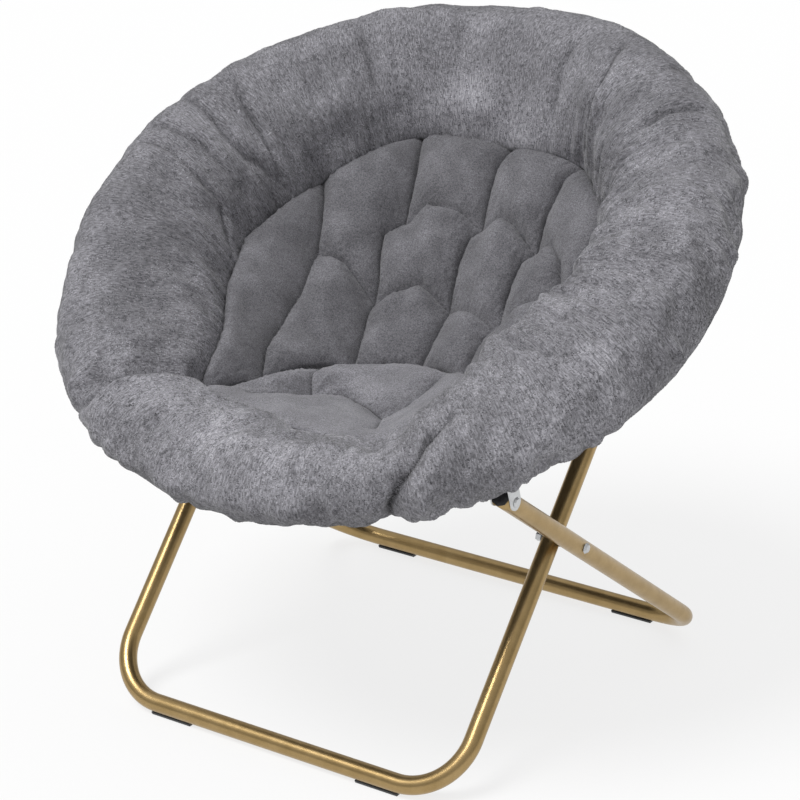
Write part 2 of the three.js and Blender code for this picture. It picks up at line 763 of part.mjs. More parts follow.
// One on the seat in front of the crease, nothing on the back behind it
function lineSide(across, back) {
  const crease = seatCreaseShares[0][1] + (seatCreaseShares[2][1] - seatCreaseShares[0][1]) * across ** 2;
  return back < crease ? 1 : 0;
}

const bottomLayer = 0;
const topLayer = 1;

// A dished sheet between two heights: its rings run out from the bowl's lowest point
function dish(rings, heightOf) {
  const profile = rings.map(([share, layer]) => new THREE.Vector2(share, layer));
  const geometry = new THREE.LatheGeometry(profile, ringSteps).rotateX(Math.PI / 2);
  const places = geometry.attributes.position;
  for (let i = 0; i < places.count; i += 1) {
    const shareX = places.getX(i);
    const shareY = places.getY(i);
    const share = Math.hypot(shareX, shareY);
    const x = padRadius * shareX;
    const y = padRadius * shareY + bowlLowestY * Math.max(0, 1 - share);
    places.setXYZ(i, x, y, heightOf(share, places.getZ(i), x, y));
  }
  return toSolid(geometry);
}

function padUnderside(share) {
  return padEdgeHeight - bowlDrop(share) - padEdgeThickness - padCrown * (1 - share ** 2);
}

function padSolid() {
  const rings = [
    ...bottomRingShares.map((share) => [share, bottomLayer]),
    ...topRingShares.map((share) => [share, topLayer]).reverse(),
  ];
  return dish(rings, (share, layer, x, y) => {
    const held = Math.min(1, share);
    return layer === topLayer ? padEdgeHeight - bowlDrop(held) + pillow(x, y) : padUnderside(held);
  });
}

// The lining lies under the bowl and under the rim's flat underside
function liningSolid() {
  const reach = liningRadius / padRadius;
  const seam = padEdgeHeight - padEdgeThickness;
  const slope = (rimCentreHeight - rimHalfHeight - seam) / (rimFlatRadius - padRadius - gap);
  const shares = [...bottomRingShares, reach];
  const rings = [
    ...shares.map((share) => [share, bottomLayer]),
    ...shares.map((share) => [share, topLayer]).reverse(),
  ];
  return dish(rings, (share, layer) => {
    const beyond = Math.max(0, share - 1) * padRadius;
    const above = share <= 1 ? padUnderside(share) : seam + slope * beyond;
    return above - 2 * gap - (layer === topLayer ? 0 : liningThickness);
  });
}

for (const [name, solid, material] of [
  ["seat_rim", rimSolid(), plush],
  ["seat_pad", padSolid(), plush],
  ["seat_lining", liningSolid(), cloth],
]) {
  const { front, rear } = halves(solid);
  addPiece(ring, `${name}_front`, front, material);
  addPiece(ring, `${name}_rear`, rear, material);
}

export default chair;
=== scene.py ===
"""Looks of a folding saucer chair: a plush rim round a tufted bowl, on crossed gold legs.

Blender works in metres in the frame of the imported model, +Z up. The seat is worked out in the
ring's own frame in millimetres: x across, v back along the ring's plane, h up from it. On the
rim, turn is the angle from the back towards +x, and run goes from the seam over the top.
"""

import math

import bpy
import numpy as np
from mathutils import Matrix, Vector


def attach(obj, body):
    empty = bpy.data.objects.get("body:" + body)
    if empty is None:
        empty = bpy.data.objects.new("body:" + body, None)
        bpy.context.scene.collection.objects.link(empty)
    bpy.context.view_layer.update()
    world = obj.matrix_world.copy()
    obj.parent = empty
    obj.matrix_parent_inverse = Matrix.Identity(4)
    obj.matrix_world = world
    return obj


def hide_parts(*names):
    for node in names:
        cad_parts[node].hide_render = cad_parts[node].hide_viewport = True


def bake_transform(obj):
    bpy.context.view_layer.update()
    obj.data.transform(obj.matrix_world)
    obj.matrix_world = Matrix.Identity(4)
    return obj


MM = 0.001

# Camera, fitted to the legs in the photograph
CAMERA_AZIMUTH = 33.29
CAMERA_ELEVATION = 21.75
CAMERA_DISTANCE = 2.995
CAMERA_HEIGHT = 0.3683
CAMERA_SIDE = 0.0305
CAMERA_TARGET_Y = -0.0388
IMAGE_SIZE = 800
FOCAL_PIXELS = 2565
SENSOR_WIDTH = 36
CAMERA_REACH = 100

# Seat ring
RING_CENTRE = (0.0, 19.2, 512.0)
RING_TILT = math.radians(27)

# Padded rim: its section at four sides as (radius, height), from the seam over the top
SEAM_RADIUS = 248.0
BACK_SECTION = [
    (248, -30), (260, 4), (280, 38), (306, 70), (344, 102), (386, 90),
    (414, 55), (402, 20), (384, -13), (345, -22), (300, -30), (262, -37),
]
RIGHT_SECTION = [
    (248, -30), (246, 12), (246, 52), (276, 90), (335, 106), (385, 96),
    (405, 52), (401, 13), (387, -13), (345, -22), (300, -30), (262, -37),
]
FRONT_SECTION = [
    (248, -30), (250, -8), (262, 10), (296, 34), (338, 60), (380, 64),
    (413, 44), (404, 18), (384, -14), (345, -22), (300, -30), (262, -37),
]
LEFT_SECTION = [
    (248, -30), (250, 10), (256, 52), (294, 86), (341, 107), (384, 97),
    (403, 48), (408, 13), (385, -12), (345, -22), (300, -30), (262, -37),
]
SEAM_PULL_SHARES = [1, 0.85, 0.5, 0.2, 0, 0, 0, 0, 0, 0, 0.5, 1]
RIM_RADIUS = 331.0
RIM_STEPS = (700, 140)

# Corners of the seam, as (turn in degrees, radius)
SEAM_CORNERS = [
    (-87, 236), (-56, 243), (-26.5, 268), (2, 246), (25, 263), (58, 250), (90, 238),
    (122, 240), (139, 250), (154, 278), (169, 263), (186, 258), (200, 263), (213, 279), (223, 238),
    (232, 220), (252, 222), (273, 236),
]

# Padded bowl: a dish drawn forward to its lowest place, out to a tuck behind the seam
BOWL_EDGE = -34.0
BOWL_DEPTH = 98.0
BOWL_POWER = 1.5
BOWL_LOWEST = -70.0
BOWL_TUCK = 4.0
BOWL_STEPS = 300
SHARE_LENGTH = 250.0
UNDER_RINGS = 7
UNDER_GAP = 2.0
UNDER_REACH_SHARE = 1.06
BOWL_UV_SPAN = 2.4 * SHARE_LENGTH
UNDER_UV_SHARE = 0.1

# Lining: a dish under the bowl, and a slope beyond it under the rim
LINING_RADIUS = 338.0
LINING_THICKNESS = 1.4
LINING_EDGE = -47.0
LINING_DEPTH = 112.0
LINING_CONE_SHARE = 0.13
LINING_SLOPE = 0.22
LINING_RINGS = 40
LINING_STEPS = 240
LINING_MIDDLE_SHARE = 0.02
LINING_UV_SPAN = 2.2 * LINING_RADIUS

# Pile: strands in each sector, and their sizes, each with what a fully shaggy place adds
PILE_STRANDS = 40000
PILE_SECTORS = 4
PILE_SEED = 50
PILE_TRIES = 4
PILE_CELLS = 200
PILE_RUN_SHARES = (0.02, 0.80)
PILE_OUTER_RADIUS = 420.0
PILE_THINNEST = 0.55
PILE_LENGTH = 4.5
SHAG_LENGTH = 6.0
PILE_LENGTH_SPREAD = (0.7, 1.25)
PILE_WIDTH = 1.2
SHAG_WIDTH = 0.5
PILE_LEAN = (8, 28)
SHAG_LEAN = 18
PILE_ROOT_DEPTH = 0.5
PILE_FALL_SHARE = 0.8
CLUMP_SHARE = 0.26
SWIRL_SHARE = 0.34
STRAY_SHARE = 0.13
PILE_SEAM_SHARE = 0.45
PILE_SEAM_RUN = (8, 60)

# Legs and fittings
LEG_RADIUS = 11.0
FOOT_BEND_RADIUS = 71.7
FRONT_LEG_HALF_WIDTH = 241.7
REAR_LEG_HALF_WIDTH = 275.7
FRONT_FOOT_Y = -249.9
REAR_FOOT_Y = 286.9
FOOT_HEIGHT = 14.0
LEG_OVERHANG = 12.0
HOOP_RADIUS = 375.0
PIVOT_DROP = 30.0
FRONT_PIVOT_LEAD = 5.1
TUBE_SIDES = 40
LEG_RUN_STEPS = 30
BEND_STEPS = 28

# Rounded folds made from noise, and rounds that ease a line of corners
RIDGED_GAIN = 1.5
RIDGED_POWER = 0.75
RIDGED_MIDDLE = 0.9
SEAM_RUN_STEPS = 60
SEAM_EASINGS = 6
SECTION_EASINGS = 4

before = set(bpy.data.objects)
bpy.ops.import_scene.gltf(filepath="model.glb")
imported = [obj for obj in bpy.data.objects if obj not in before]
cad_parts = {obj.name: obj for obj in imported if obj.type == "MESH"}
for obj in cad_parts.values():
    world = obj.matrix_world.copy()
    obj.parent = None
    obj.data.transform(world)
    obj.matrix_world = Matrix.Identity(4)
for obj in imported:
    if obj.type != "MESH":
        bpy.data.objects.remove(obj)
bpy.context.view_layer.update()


def ring_to_world(points):
    """Points of the ring's frame in millimetres, in metres in the row frame."""
    x, v, h = np.moveaxis(np.asarray(points, float), -1, 0)
    cos, sin = math.cos(RING_TILT), math.sin(RING_TILT)
    y = RING_CENTRE[1] + v * cos - h * sin
    z = RING_CENTRE[2] + v * sin + h * cos
    return np.stack([x + RING_CENTRE[0], y, z], -1) * MM


def unit(vectors):
    """Vectors scaled to a length of 1."""
    return vectors / np.linalg.norm(vectors, axis=-1, keepdims=True)


class Waves:
    """Smooth noise, about -1 to 1, as a sum of plane waves near one wavelength."""

    def __init__(self, seed, wavelength, count=26, spread=0.4):
        random = np.random.default_rng(seed)
        heading = unit(random.normal(size=(count, 3)))
        length = wavelength * (1 + spread * random.uniform(-1, 1, count))
        self.wave = heading * (2 * math.pi / length)[:, None]
        self.phase = random.uniform(0, 2 * math.pi, count)
        self.gain = math.sqrt(2 / count)

    def __call__(self, points):
        total = np.zeros(points.shape[:-1])
        for wave, phase in zip(self.wave, self.phase):
            total += np.sin(points @ wave + phase)
        return self.gain * total


def smooth(edge0, edge1, value):
    """0 before edge0, 1 after edge1, and a smooth step between them."""
    share = np.clip((value - edge0) / (edge1 - edge0), 0, 1)
    return share * share * (3 - 2 * share)


def rise_from(low, edge0, edge1, value):
    """A low share before edge0, 1 after edge1, and a smooth step between them."""
    return low + (1 - low) * smooth(edge0, edge1, value)


def band(value, start, full, fade, end):
    """1 from full to fade, 0 before start and after end, with smooth steps between them."""
    return smooth(start, full, value) * (1 - smooth(fade, end, value))


def ridged(noise):
    """Rounded folds between sharp valleys, from smooth noise."""
    return RIDGED_GAIN * np.abs(noise) ** RIDGED_POWER - RIDGED_MIDDLE


def around_ring(turn, table):
    """A value given at some turns in degrees, eased between them round the ring."""
    places, values = zip(*table)
    return np.interp(np.degrees(turn) % 360, places, values, period=360)


def line_distance(across, back, line):
    """Distance to a line of points, the side of it, 1 on the left, and the share of its run."""
    least = np.full(across.shape, np.inf)
    side = np.zeros(across.shape)
    along_all = np.zeros(across.shape)
    total = sum(math.hypot(bx - ax, bv - av) for (ax, av), (bx, bv) in zip(line, line[1:]))
    done = 0
    for (ax, av), (bx, bv) in zip(line, line[1:]):
        run = (bx - ax, bv - av)
        length = math.hypot(*run)
        along = ((across - ax) * run[0] + (back - av) * run[1]) / length ** 2
        held = np.clip(along, 0, 1)
        away = np.hypot(across - ax - held * run[0], back - av - held * run[1])
        cross = run[0] * (back - av) - run[1] * (across - ax)
        nearer = away < least
        side = np.where(nearer, np.sign(cross), side)
        along_all = np.where(nearer, (done + held * length) / total, along_all)
        least = np.minimum(least, away)
        done += length
    return least, side, along_all


# Rim

SECTIONS = [
    np.array(points, float)
    for points in (BACK_SECTION, RIGHT_SECTION, FRONT_SECTION, LEFT_SECTION)
]
RIM_LUMPS = Waves(11, 170)
RIM_DENTS = Waves(12, 64)
RIM_GATHERS = Waves(13, 27)
RIM_PUCKERS = Waves(14, 13)
RIM_RIPPLES = Waves(15, 19)
GATHER_SHARES = [
    (0, 0.25), (22, 0.3), (36, 0.7), (70, 0.9), (130, 0.8), (170, 0.3),
    (225, 0.25), (262, 0.45), (290, 0.6), (312, 0.75), (330, 0.35), (350, 0.22),
]
SHAG_SHARES = [
    (0, 0.3), (35, 0.35), (60, 0.7), (80, 1.0), (210, 1.0), (232, 0.75), (250, 0.3), (330, 0.25),
]
# Folds as (depth, width, bulge, [(turn, run), ...]): bulge is the side that stands higher
RIM_FOLDS = [
    (11, 9, -1, [(152, 300), (150.4, 238), (147.9, 202), (144.7, 185), (141.3, 170), (136.6, 158)]),
    (3, 5, -1, [(121, 120), (119.2, 134), (115.9, 178), (114.6, 205), (114.2, 235)]),
    (8, 7, -1, [(27, 8), (28.2, 59), (29, 113), (24.5, 180)]),
    (5, 5, -1, [(50.1, 60), (49, 91), (50.9, 132)]),
    (4.5, 5, 1, [(47.4, 140), (48.7, 171), (50.2, 205), (48.5, 240)]),
    (3.5, 5, 1, [(38.5, 190), (37.6, 201), (36, 230)]),
    (2, 6, 1, [(88.8, 175), (88.1, 235), (81, 300)]),
    (6, 6, 1, [(287.9, 225), (286.6, 137), (286.6, 91), (291.5, 45)]),
    (5, 5, 1, [(279, 215), (279.9, 128), (279.8, 95)]),
    (5, 5, -1, [(274.1, 215), (274, 158), (271, 85)]),
    (6, 5, 1, [(296.7, 180), (293.7, 120), (293.1, 77), (292.3, 30)]),
    (4, 5, 1, [(270.5, 74), (263.5, 28)]),
    (5, 9, 1, [(325.3, 170), (325.2, 85)]),
    (4, 8, -1, [(14.5, 165), (13.5, 110), (15, 60)]),
    (3, 7, 1, [(345, 180), (347, 95)]),
]
# Ledges as (rise, dent, drop, reach, [(turn, run), ...]): they stand up on the side of the smaller turn
RIM_LEDGES = [
    (14, 24, 12, 70, [
        (214, 225), (211.5, 205), (209, 185), (208, 160), (207, 135), (206.5, 110), (206, 75), (207, 40),
    ]),
]
# Swells of the rim as (lift, turn, run, reach round the ring, reach along the section)
RIM_SWELLS = [
    (11, 182, 85, 70, 60),
    (-24, 152, 88, 40, 62),
    (11, 204, 285, 80, 48),
    (14, 120, 120, 90, 60),
]
# Painted sheen and shade: places where the pile is painted lighter or darker, as light catches its
# brushed nap or shade falls in its folds, as (gain, turn, run, reach round, reach along)
RIM_SHEEN_AND_SHADE = [
    (0.46, 190, 110, 90, 50),
    (0.22, 166, 150, 60, 40),
    (-0.14, 172, 240, 110, 55),
    (-0.2, 236, 115, 110, 70),
    (-0.18, 262, 146, 100, 70),
    (0.74, 355, 30, 120, 45),
    (0.22, 345, 90, 150, 60),
    (0.08, 80, 225, 80, 60),
    (-0.18, 42, 174, 80, 70),
    (-0.12, 92, 190, 70, 60),
    (0.34, 116, 245, 90, 50),
]

# Relief of the rim's skin: heights in millimetres, and bands of run as (start, full, fade, end)
LUMP_HEIGHT = 2.2
DENT_HEIGHT = 1.4
GATHER_HEIGHT = 3.2
PUCKER_HEIGHT = 1.3
RIPPLE_HEIGHT = 1.4
GATHER_STRETCH = 0.14
RIPPLE_STRETCH = 0.4
INNER_BAND = (0, 25, 110, 215)
OUTER_BAND = (250, 300, 330, 380)
SHAG_BAND = (60, 130, 290, 350)
PUCKER_BAND = (0, 10, 30, 80)
OUTER_GATHER_SHARE = 0.45
SHAG_GATHER_SHARE = 0.75
SEAM_EASE = 12
UNDERSIDE = (300, 350)
UNDERSIDE_CALM = 0.85

# Folds, with their ridges and shade in fold widths, and ledges, in shares of their run, drop and reach
FOLD_WANDER = 1.8
FOLD_SHARPNESS = 1.4
FOLD_END_SHARE = 0.12
RIDGE_SHARE = 0.75
RIDGE_PLACE = 2.6
RIDGE_WIDTH = 1.9
FOLD_SHADE = 0.085
FOLD_SHADE_WIDTH = 0.5
LEDGE_BAND = (0, 0.3, 0.8, 1.05)
LEDGE_END_SHARE = 0.04
LEDGE_TOP = 0.2
LEDGE_DENT_REACH = 0.5
LEDGE_SHADE = 0.55
LEDGE_SHADE_PLACE = 0.8
LEDGE_SHADE_WIDTH = 0.35
# Painted shade along the rim's seam: its darkest share and its width
SEAM_SHADE_LEVEL = 0.35
SEAM_SHADOW = 5


def seam_radius(turn):
    """The seam's radius: straight runs between its corners, a little eased."""
    corners = [(math.radians(angle), radius) for angle, radius in SEAM_CORNERS]
    ends = np.array([(radius * math.sin(angle), radius * math.cos(angle)) for angle, radius in corners])
    share = np.linspace(0, 1, SEAM_RUN_STEPS, endpoint=False)[:, None]
    line = np.vstack([a + (b - a) * share for a, b in zip(ends, np.roll(ends, -1, 0))])
    for _ in range(SEAM_EASINGS):
        line = (np.roll(line, 1, 0) + 2 * line + np.roll(line, -1, 0)) / 4
    angles = np.arctan2(line[:, 0], line[:, 1]) % (2 * math.pi)
    order = np.argsort(angles)
    radii = np.hypot(*line.T)
    return np.interp(turn % (2 * math.pi), angles[order], radii[order], period=2 * math.pi)


def rim_section(turn, steps):
    """The rim's outline at a turn, as even steps of (radius, height), and its length."""
    back, right, front, left = SECTIONS
    line = (back + right + front + left) / 4
    line = line + (back - front) / 2 * math.cos(turn) + (right - left) / 2 * math.sin(turn)
    line = line + (back - right + front - left) / 4 * math.cos(2 * turn)
    line[:, 0] += (seam_radius(turn) - SEAM_RADIUS) * np.array(SEAM_PULL_SHARES)
    start = line[0]
    for _ in range(SECTION_EASINGS):
        following = np.roll(line, -1, 0)
        doubled = np.empty((2 * len(line), 2))
        doubled[0::2] = 0.75 * line + 0.25 * following
        doubled[1::2] = 0.25 * line + 0.75 * following
        line = doubled
    first = np.argmin(np.hypot(*(line - start).T))
    line = np.roll(line, -first, 0)
    loop = np.vstack([line, line[:1]])
    run = np.concatenate([[0], np.cumsum(np.hypot(*np.diff(loop, axis=0).T))])
    places = np.linspace(0, run[-1], steps, endpoint=False)
    return np.interp(places, run, loop[:, 0]), np.interp(places, run, loop[:, 1]), run[-1]


def arc_length(angle):
    """Length round the rim's middle circle for an angle in degrees."""
    return angle * RIM_RADIUS * math.pi / 180


def soft_patch(turn, run, angle, place, wide, deep):
    """1 at a place of the rim, falling to 0 round the ring and along the section."""
    across = arc_length((np.degrees(turn) - angle + 180) % 360 - 180)
    return np.exp(-((across / wide) ** 2) - ((run - place) / deep) ** 2)


def gather_lift(turn, run):
    """Small folds, puckers and ripples where the cover is gathered."""
    ring = [RIM_RADIUS * np.sin(turn), RIM_RADIUS * np.cos(turn)]
    long = np.stack([*ring, GATHER_STRETCH * run], -1)
    waved = np.stack([*ring, RIPPLE_STRETCH * run], -1)
    gather = around_ring(turn, GATHER_SHARES)
    inner = band(run, *INNER_BAND)
    outer = band(run, *OUTER_BAND)
    shag = around_ring(turn, SHAG_SHARES) * band(run, *SHAG_BAND)
    folds = inner + OUTER_GATHER_SHARE * outer + SHAG_GATHER_SHARE * (1 - inner) * shag
    folds = ridged(RIM_GATHERS(long)) * folds
    pucker = ridged(RIM_PUCKERS(long)) * band(run, *PUCKER_BAND)
    lift = gather * (GATHER_HEIGHT * folds + PUCKER_HEIGHT * pucker)
    return lift + RIPPLE_HEIGHT * shag * RIM_RIPPLES(waved)


def fold_relief(turn, run, wander):
    """Lift and painted shading of the drawn folds: a valley with painted shade down in it, and a ridge
    on its bulging side.
    """
    arc = arc_length(np.degrees(turn) % 360)
    lift = np.zeros(turn.shape)
    plush_shading = np.ones(turn.shape)
    for depth, width, bulge, places in RIM_FOLDS:
        line = [(arc_length(angle), place) for angle, place in places]
        away, side, along = line_distance(arc + wander, run + wander, line)
        taper = np.sqrt(np.clip(4 * along * (1 - along) + FOLD_END_SHARE, 0, 1))
        valley = np.exp(-((away / width) ** FOLD_SHARPNESS))
        ridge = np.exp(-(((away / width - RIDGE_PLACE) / RIDGE_WIDTH) ** 2)) * (side * bulge > 0)
        lift += taper * depth * (RIDGE_SHARE * ridge - valley)
        # painted shade down in the fold's valley
        shade = FOLD_SHADE * depth * taper * np.exp(-((away / (FOLD_SHADE_WIDTH * width)) ** 2))
        plush_shading = np.minimum(plush_shading, 1 - shade)
    return lift, plush_shading


def ledge_relief(turn, run):
    """Lift and painted shading of the ledges: a step up, and a dent at its foot with painted shade in
    it.
    """
    arc = arc_length(np.degrees(turn) % 360)
    lift = np.zeros(turn.shape)
    plush_shading = np.ones(turn.shape)
    for rise, dent, drop, reach, places in RIM_LEDGES:
        line = [(arc_length(angle), place) for angle, place in places]
        away, side, along = line_distance(arc, run, line)
        past = -side * away
        taper = np.maximum(band(along, *LEDGE_BAND), LEDGE_END_SHARE)
        step = smooth(-drop, LEDGE_TOP * drop, past)
        lift += taper * rise * step * np.exp(-((np.maximum(past, 0) / reach) ** 2))
        lift -= taper * dent * (1 - step) * np.exp(-(((past + drop) / (LEDGE_DENT_REACH * reach)) ** 2))
        # painted shade at the foot of the ledge's step
        dark = np.exp(-(((past / drop + LEDGE_SHADE_PLACE) / LEDGE_SHADE_WIDTH) ** 2))
        plush_shading = np.minimum(plush_shading, 1 - LEDGE_SHADE * taper * dark)
    return lift, plush_shading


def rim_lift(turn, run):
    """How far the rim's skin stands out from its smooth section, and its painted shading: shade in its
    seams, folds and ledges, and patches of painted sheen and shade.
    """
    places = np.stack([RIM_RADIUS * np.sin(turn), RIM_RADIUS * np.cos(turn), run], -1)
    dents = RIM_DENTS(places)
    lift = LUMP_HEIGHT * RIM_LUMPS(places) + DENT_HEIGHT * dents + gather_lift(turn, run)
    for height, *place in RIM_SWELLS:
        lift += height * soft_patch(turn, run, *place)
    fold, fold_shading = fold_relief(turn, run, FOLD_WANDER * dents)
    ledge, ledge_shading = ledge_relief(turn, run)
    lift = (lift + fold + ledge) * smooth(0, SEAM_EASE, run)
    lift *= 1 - UNDERSIDE_CALM * smooth(*UNDERSIDE, run)
    plush_shading = np.minimum(fold_shading, ledge_shading)
    # painted shade along the seam
    plush_shading = np.minimum(plush_shading, rise_from(SEAM_SHADE_LEVEL, 0, SEAM_SHADOW, run))
    # patches of painted sheen and shade, lighter or darker
    for gain, *place in RIM_SHEEN_AND_SHADE:
        plush_shading *= 1 + gain * soft_patch(turn, run, *place)
    return lift, plush_shading


def rim_grid():
    """Points of the rim's skin as a grid, with its runs and its painted shading."""
    around, along = RIM_STEPS
    turns = np.linspace(0, 2 * math.pi, around, endpoint=False)
    radius = np.empty(RIM_STEPS)
    height = np.empty(RIM_STEPS)
    run = np.empty(RIM_STEPS)
    for i, angle in enumerate(turns):
        radius[i], height[i], length = rim_section(angle, along)
        run[i] = np.linspace(0, length, along, endpoint=False)
    turn = np.repeat(turns[:, None], along, 1)
    step_r = np.roll(radius, -1, 1) - np.roll(radius, 1, 1)
    step_h = np.roll(height, -1, 1) - np.roll(height, 1, 1)
    size = np.hypot(step_r, step_h)
    lift, plush_shading = rim_lift(turn, run)
    radius = radius - step_h / size * lift
    height = height + step_r / size * lift
    points = ring_to_world(np.stack([radius * np.sin(turn), radius * np.cos(turn), height], -1))
    return points, run, plush_shading


def grid_normals(points):
    """Outward normals of a grid that closes on itself both ways."""
    across = np.roll(points, -1, 1) - np.roll(points, 1, 1)
    round_ring = np.roll(points, -1, 0) - np.roll(points, 1, 0)
    return unit(np.cross(across, round_ring))


def combed(points):
    """The way the rim's pile is brushed: out along the section, and down where it can."""
    outward = unit(np.roll(points, -1, 1) - np.roll(points, 1, 1))
    return outward + (0, 0, -PILE_FALL_SHARE)


# Bowl: its seams as shares of a length, x across and v back

COLUMN_SHARES = [
    [
        (-0.81, 0.54), (-0.76, 0.45), (-0.71, 0.33), (-0.67, 0.19), (-0.64, 0.01), (-0.61, -0.21),
        (-0.55, -0.47), (-0.48, -0.64),
    ],
    [
        (-0.48, 0.99), (-0.42, 0.81), (-0.39, 0.67), (-0.37, 0.53), (-0.43, 0.42), (-0.40, 0.31),
        (-0.36, 0.21), (-0.34, 0.10), (-0.33, 0.02), (-0.30, -0.08), (-0.24, -0.32),
    ],
    [
        (0.03, 0.99), (0.01, 0.86), (0.03, 0.67), (0.04, 0.59), (0, 0.52), (0, 0.40),
        (0.02, 0.27), (0.04, 0.18), (0.05, 0.09), (0.05, -0.2),
    ],
    [
        (0.45, 0.96), (0.39, 0.87), (0.38, 0.65), (0.40, 0.49), (0.34, 0.43), (0.34, 0.32),
        (0.36, 0.10), (0.32, 0.03), (0.34, -0.24),
    ],
    [(0.86, 0.60), (0.76, 0.42), (0.68, 0.22), (0.62, 0.06), (0.58, -0.10), (0.55, -0.30)],
]
ROW_SHARES = [
    [(-0.67, 0.19), (-0.51, 0.19), (-0.34, 0.10)],
    [(-0.37, 0.53), (-0.26, 0.62), (-0.08, 0.62), (0.04, 0.59)],
    [(0.04, 0.59), (0.15, 0.63), (0.24, 0.60), (0.40, 0.49)],
    [(0.40, 0.49), (0.50, 0.50), (0.60, 0.40), (0.68, 0.22)],
    [(-0.34, 0.10), (-0.19, 0.20), (-0.13, 0.24), (0.04, 0.18)],
    [(0.04, 0.18), (0.17, 0.16), (0.36, 0.10)],
    [(0.36, 0.10), (0.46, 0.16), (0.68, 0.22)],
]
SEAT_BACK_SHARES = [
    (-0.66, -1.02), (-0.54, -0.81), (-0.46, -0.62), (-0.39, -0.46), (-0.30, -0.32), (-0.17, -0.24),
    (-0.05, -0.18), (0.06, -0.16), (0.17, -0.17), (0.27, -0.19), (0.40, -0.23), (0.62, -0.36),
    (0.98, -0.56),
]
SEAT_LINE_SHARES = [
    [(-0.32, -0.27), (-0.33, -0.46), (-0.27, -0.59), (-0.12, -0.51), (0.14, -0.59), (0.28, -0.82)],
    [(0.14, -0.59), (0.23, -0.52), (0.27, -0.27)],
    [(-0.27, -0.59), (-0.40, -0.80)],
]
TUFT_SHARES = [
    (-0.67, 0.19), (-0.37, 0.53), (-0.34, 0.10), (0.04, 0.59), (0.04, 0.18), (0.40, 0.49),
    (0.36, 0.10), (0.68, 0.22), (-0.27, -0.59), (0.14, -0.59),
]

# Pillows: their rise, and beside each seam the width to their level top and the share at the seam
BACK_RISE = 34.0
SEAT_RISE = 40.0
COLUMN_PUFF = (44, 0)
BACK_FOOT_PUFF = (36, 0.25)
BACK_EDGE_PUFF = (34, 0.3)
ROW_UPPER_PUFF = (46, 0.3)
ROW_LOWER_PUFF = (20, 0.3)
SEAT_LINE_PUFF = (46, 0.42)
SEAT_BACK_PUFF = (36, 0)
SEAT_EDGE_PUFF = (40, 0.86)
TUFT_DENT = 0.45
TUFT_REACH = 17
BOWL_LUMP_HEIGHT = 1.8
BOWL_DENT_HEIGHT = 0.8
BOWL_LUMP_EASE = 30
BOWL_PUCKER_HEIGHT = 1.4
BOWL_PUCKER_EASE = 4
BOWL_PUCKER_REACH = 14

# Painted shading of the bowl's plush: shade in its seams, shade in the dents beside them, and the seat
# painted lighter than the back
BOWL_SEAM_SHADE_LEVEL = 0.25
BOWL_SEAM_WIDTH = 1.9
ROW_SEAM_RELIEF = 0.6
DENT_SHADE = 0.05
DENT_SHADE_EASE = 20
SEAT_LESS_SHADE = 1.4
BOWL_LUMPS = Waves(21, 90)
BOWL_DENTS = Waves(22, 34)
BOWL_PUCKERS = Waves(23, 11)


def puff(distance, width, low):
    """A pillow's rise beside a seam: upright from a low share at the seam, level a width away."""
    share = np.clip(distance / width, 0, 1)
    return low + (1 - low) * np.sqrt(share * (2 - share))


def bowl_base(share):
    """The dish under the pillows, by the share of the way to its edge."""
    return BOWL_EDGE - BOWL_DEPTH * np.clip(1 - share ** 2, 0, 1) ** BOWL_POWER


def nearest_line(across, back, lines):
    """Distance in millimetres to the nearest of some lines given as shares."""
    return np.min([line_distance(across, back, line)[0] for line in lines], 0) * SHARE_LENGTH


